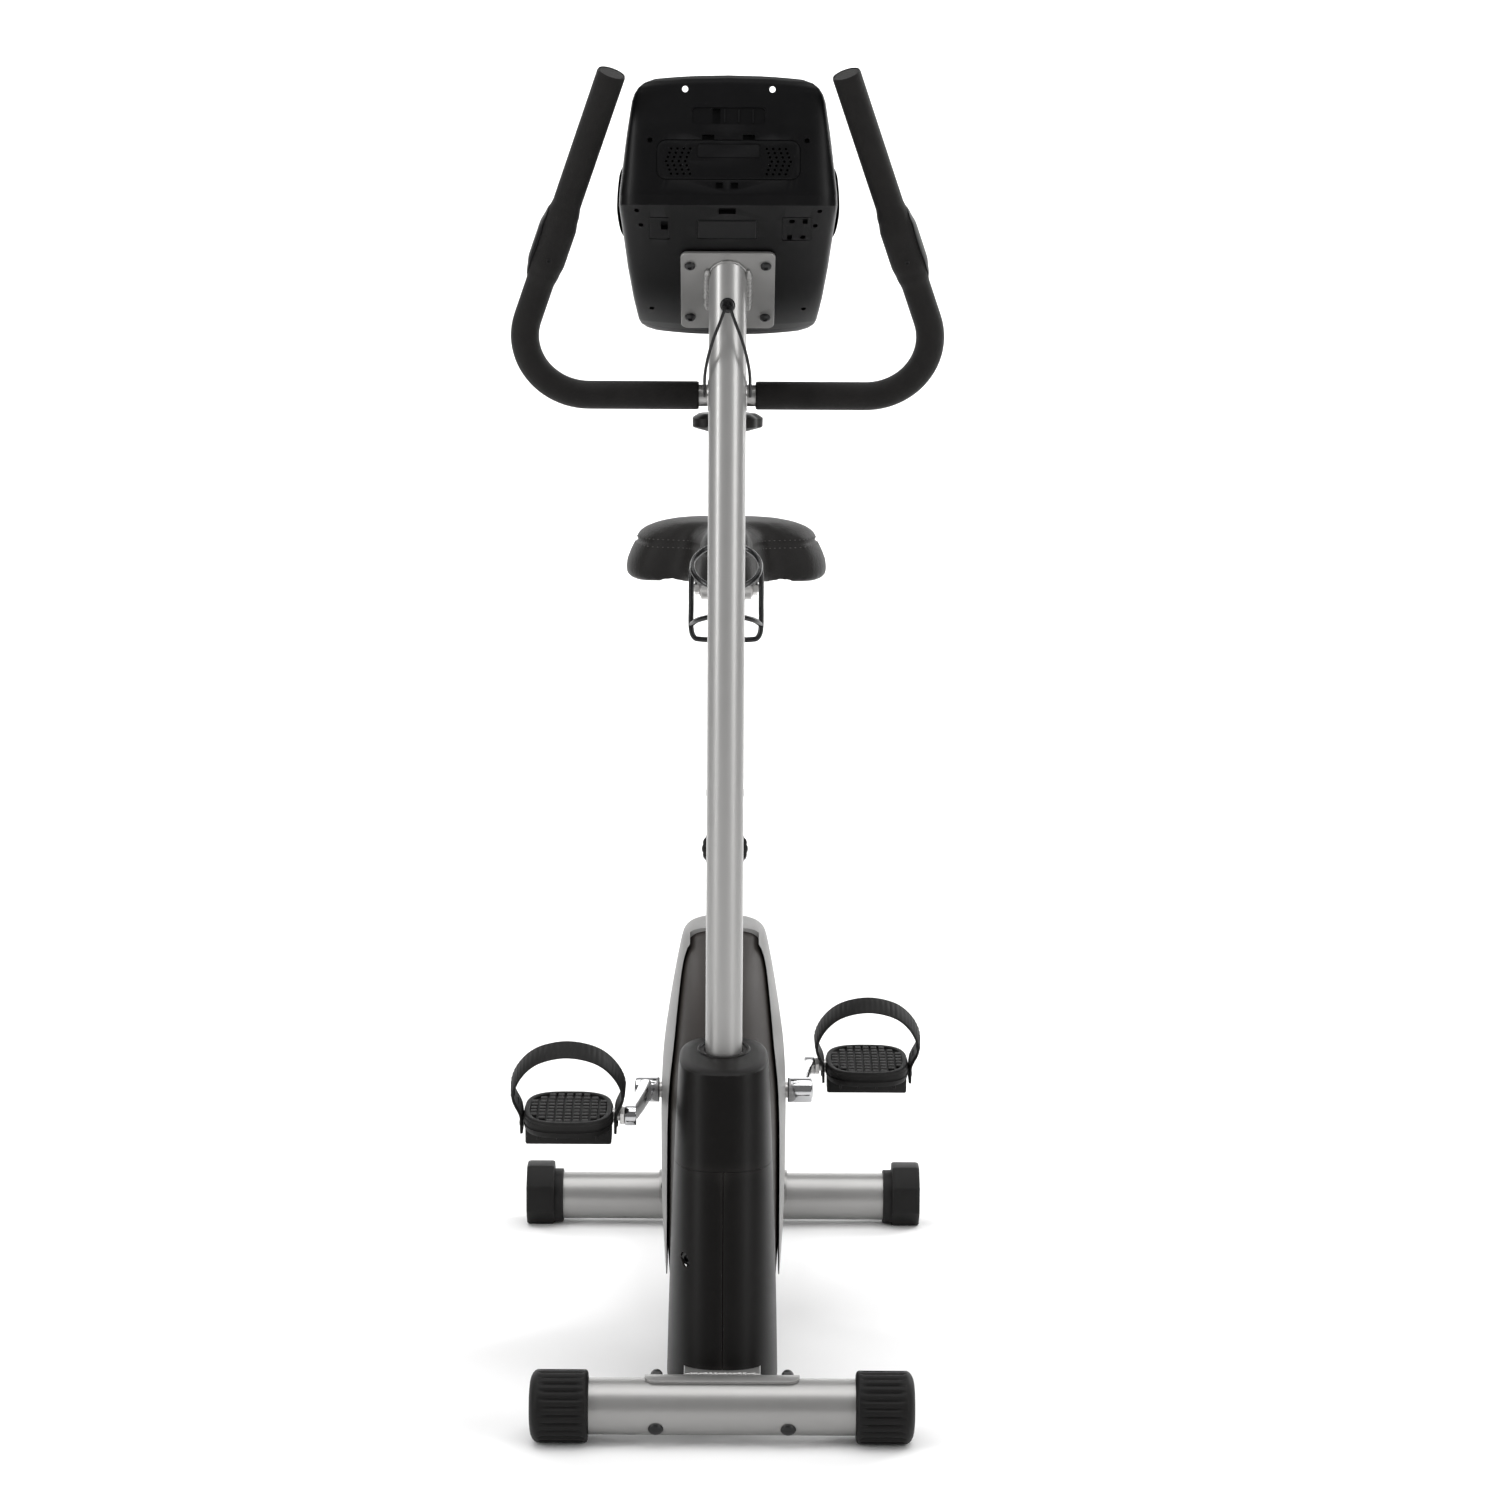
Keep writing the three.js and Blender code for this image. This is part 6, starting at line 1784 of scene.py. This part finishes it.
def add_saddle():
    blank = saddle_skin([
        (5, 40), (5, 7.5), (7.5, 3.8), (12, 1.6), (19, 1.5), (27, 3), (36, 6.5), (44, 10.5),
        (50, 13), (55, 15), (59.5, 19), (64, 27), (68, 39), (71.5, 54), (74, 73), (75, 92)])
    pad = inflated(blank, 0.0045, 4.0, 0.0030)
    pad = subdivided(pad)
    pad = ([saddle_form(p) for p in pad[0]], pad[1])
    hollow = saddle_skin([(-20, 30), (27.3, 30)])
    pad = carve(pad, "DIFFERENCE", hollow)
    cushion = new_piece("saddle_cushion", *pad, VINYL, "saddle", "saddle_vinyl",
                        ["saddle_pad"], 60)
    line = seam_line(pad)
    tree = bvhtree.BVHTree.FromPolygons(pad[0], pad[1])
    new_piece("saddle_stitching", *settled(stitches(line), tree, 0.00045), STITCH_THREAD,
              "saddle", "saddle_vinyl", (), 50)
    pan = saddle_skin([(20, 34), (20.4, 32.2), (21.4, 31.2), (25.6, 31), (26, 31.4)])
    ribs = []
    for x in (-60, -30, 30, 60):
        ribs.append(block(
            SADDLE_HEAD + Vector((x - 1.2, 20, 16.5)) * MM,
            SADDLE_HEAD + Vector((x + 1.2, 92, 20.6)) * MM, 0.0005))
    new_piece("saddle_base", *joined(pan, *ribs), SHROUD, "saddle", "shroud_plastic",
              ["saddle_pan"], 34)
    add_rails_and_clamp()


def add_rails_and_clamp():
    rails, cheeks = [], []
    for sign in (-1, 1):
        route = [(9, -108, 22), (12, -88, 20), (20, -50, 13), (22, -30, 12), (22, 0, 12),
                 (22, 30, 12), (24, 52, 13), (34, 78, 20), (36, 84, 23)]
        path = smooth_path([Vector((sign * x, y, z)) * MM + SADDLE_HEAD for x, y, z in route],
                           70)
        rails.append(swept(path, round_section(0.0035, 20)))
        low, high = sorted((sign * 0.0163, sign * 0.0280))
        plate = side_prism(rounded_cheek(), low, high, 0.0008, SADDLE_HEAD)
        groove_rod = tube(SADDLE_HEAD + Vector((sign * 0.022, -0.04, 0.012)),
                          SADDLE_HEAD + Vector((sign * 0.022, 0.04, 0.012)), 0.0044)
        cheeks.append(carve(plate, "DIFFERENCE", groove_rod))
    new_piece("saddle_rails", *joined(*rails), ZINC, "saddle", "zinc_steel", (), 34)
    bolt = tube(SADDLE_HEAD - Vector((0.036, 0, 0)), SADDLE_HEAD + Vector((0.036, 0, 0)),
                0.0045)
    washer = turned([(0.0281, 0.0046), (0.0281, 0.0100), (0.0294, 0.0100),
                     (0.0294, 0.0046)], 40, closed=True)
    nut = prism(circle(HEXAGON_NUT, 6), 0.0294, 0.0350, 0.0007)
    hardware = [bolt]
    for sign in (-1, 1):
        hardware.append(placed(joined(washer, nut), aim(SADDLE_HEAD, (sign, 0, 0))))
    new_piece("saddle_clamp", *joined(*cheeks, *hardware), ZINC, "saddle", "zinc_steel",
              ["seat_clamp"], 30)


def rounded_cheek():
    """A clamp cheek from the side: round below, straight sides, a flat top."""
    points = [(0.0165 * math.cos(a), 0.0005 + 0.0135 * math.sin(a)) for a in (
        math.pi + i * math.pi / 16 for i in range(17))]
    points += [(0.0168, 0.012), (0.0155, 0.0172), (0.0120, 0.0188), (-0.0120, 0.0188),
               (-0.0155, 0.0172), (-0.0168, 0.012)]
    return points


# ------------------------------------------------------------------ stage

# Each light's place, target, width and height, and power.
LAMPS = {
    "key": ((-2.6, -1.9, 1.7), (0, 0, 0.8), (0.45, 2.6), 48),
    "fill": ((2.7, -2.4, 1.6), (0, 0, 0.8), (1.3, 2.6), 48),
    "rim": ((2.4, 1.4, 1.8), (0, 0, 0.8), (0.6, 2.4), 26),
    "top": ((0, -0.4, 4.2), (0, 0.4, 0), (4.0, 4.0), 150),
    "backdrop_left": ((-3.4, 3.2, 3.2), (0.5, 7, 1.6), (2.5, 2.5), 260),
    "backdrop_right": ((3.4, 3.2, 3.2), (-0.5, 7, 1.6), (2.5, 2.5), 260),
}
WORLD_STRENGTH = 0.22


def lamp(name, place, target, size, power):
    """A soft rectangular studio light that looks at a target."""
    light = bpy.data.lights.new(name, "AREA")
    light.shape = "RECTANGLE"
    light.size, light.size_y = size
    light.energy = power
    holder = bpy.data.objects.new(name, light)
    holder.location = place
    facing = Vector(target) - Vector(place)
    holder.rotation_euler = facing.to_track_quat("-Z", "Y").to_euler()
    bpy.context.scene.collection.objects.link(holder)


def add_stage():
    """A pale floor that turns up into a backdrop far behind, a bright world and soft lights."""
    verts = []
    profile = [(-9, 0), (5, 0)]
    profile += [(5 + 2 * math.sin(a), 2 - 2 * math.cos(a)) for a in (
        i * math.pi / 16 for i in range(1, 9))]
    profile.append((7, 9))
    for y, z in profile:
        verts += [(-12, y, z), (12, y, z)]
    faces = [(2 * i, 2 * i + 1, 2 * i + 3, 2 * i + 2) for i in range(len(profile) - 1)]
    mesh = bpy.data.meshes.new("floor")
    mesh.from_pydata(verts, [], faces)
    for face in mesh.polygons:
        face.use_smooth = True
    floor = bpy.data.objects.new("floor", mesh)
    mesh.materials.append(finish(
        "floor_paper", (0.86, 0.86, 0.86), (0.88, 0.88, 0.88), (0.7, 0.8), mottle=2,
        grain=300, bump=0.02))
    bpy.context.scene.collection.objects.link(floor)
    world = bpy.data.worlds.new("studio")
    bpy.context.scene.world = world
    world.use_nodes = True
    background = world.node_tree.nodes["Background"]
    background.inputs["Color"].default_value = (1, 1, 1, 1)
    background.inputs["Strength"].default_value = WORLD_STRENGTH
    for name, settings in LAMPS.items():
        lamp(name, *settings)
    bpy.context.scene.view_settings.view_transform = "Standard"


# ------------------------------------------------------------------ the whole bike

paint_cad_nodes()
add_rail()
add_stabilizers()
add_bolts()
add_rollers()
add_levelers()
add_shroud()
add_cranks()
add_mast()
add_console()
add_handlebar()
add_cage()
add_seat_frame()
add_saddle()
add_stage()
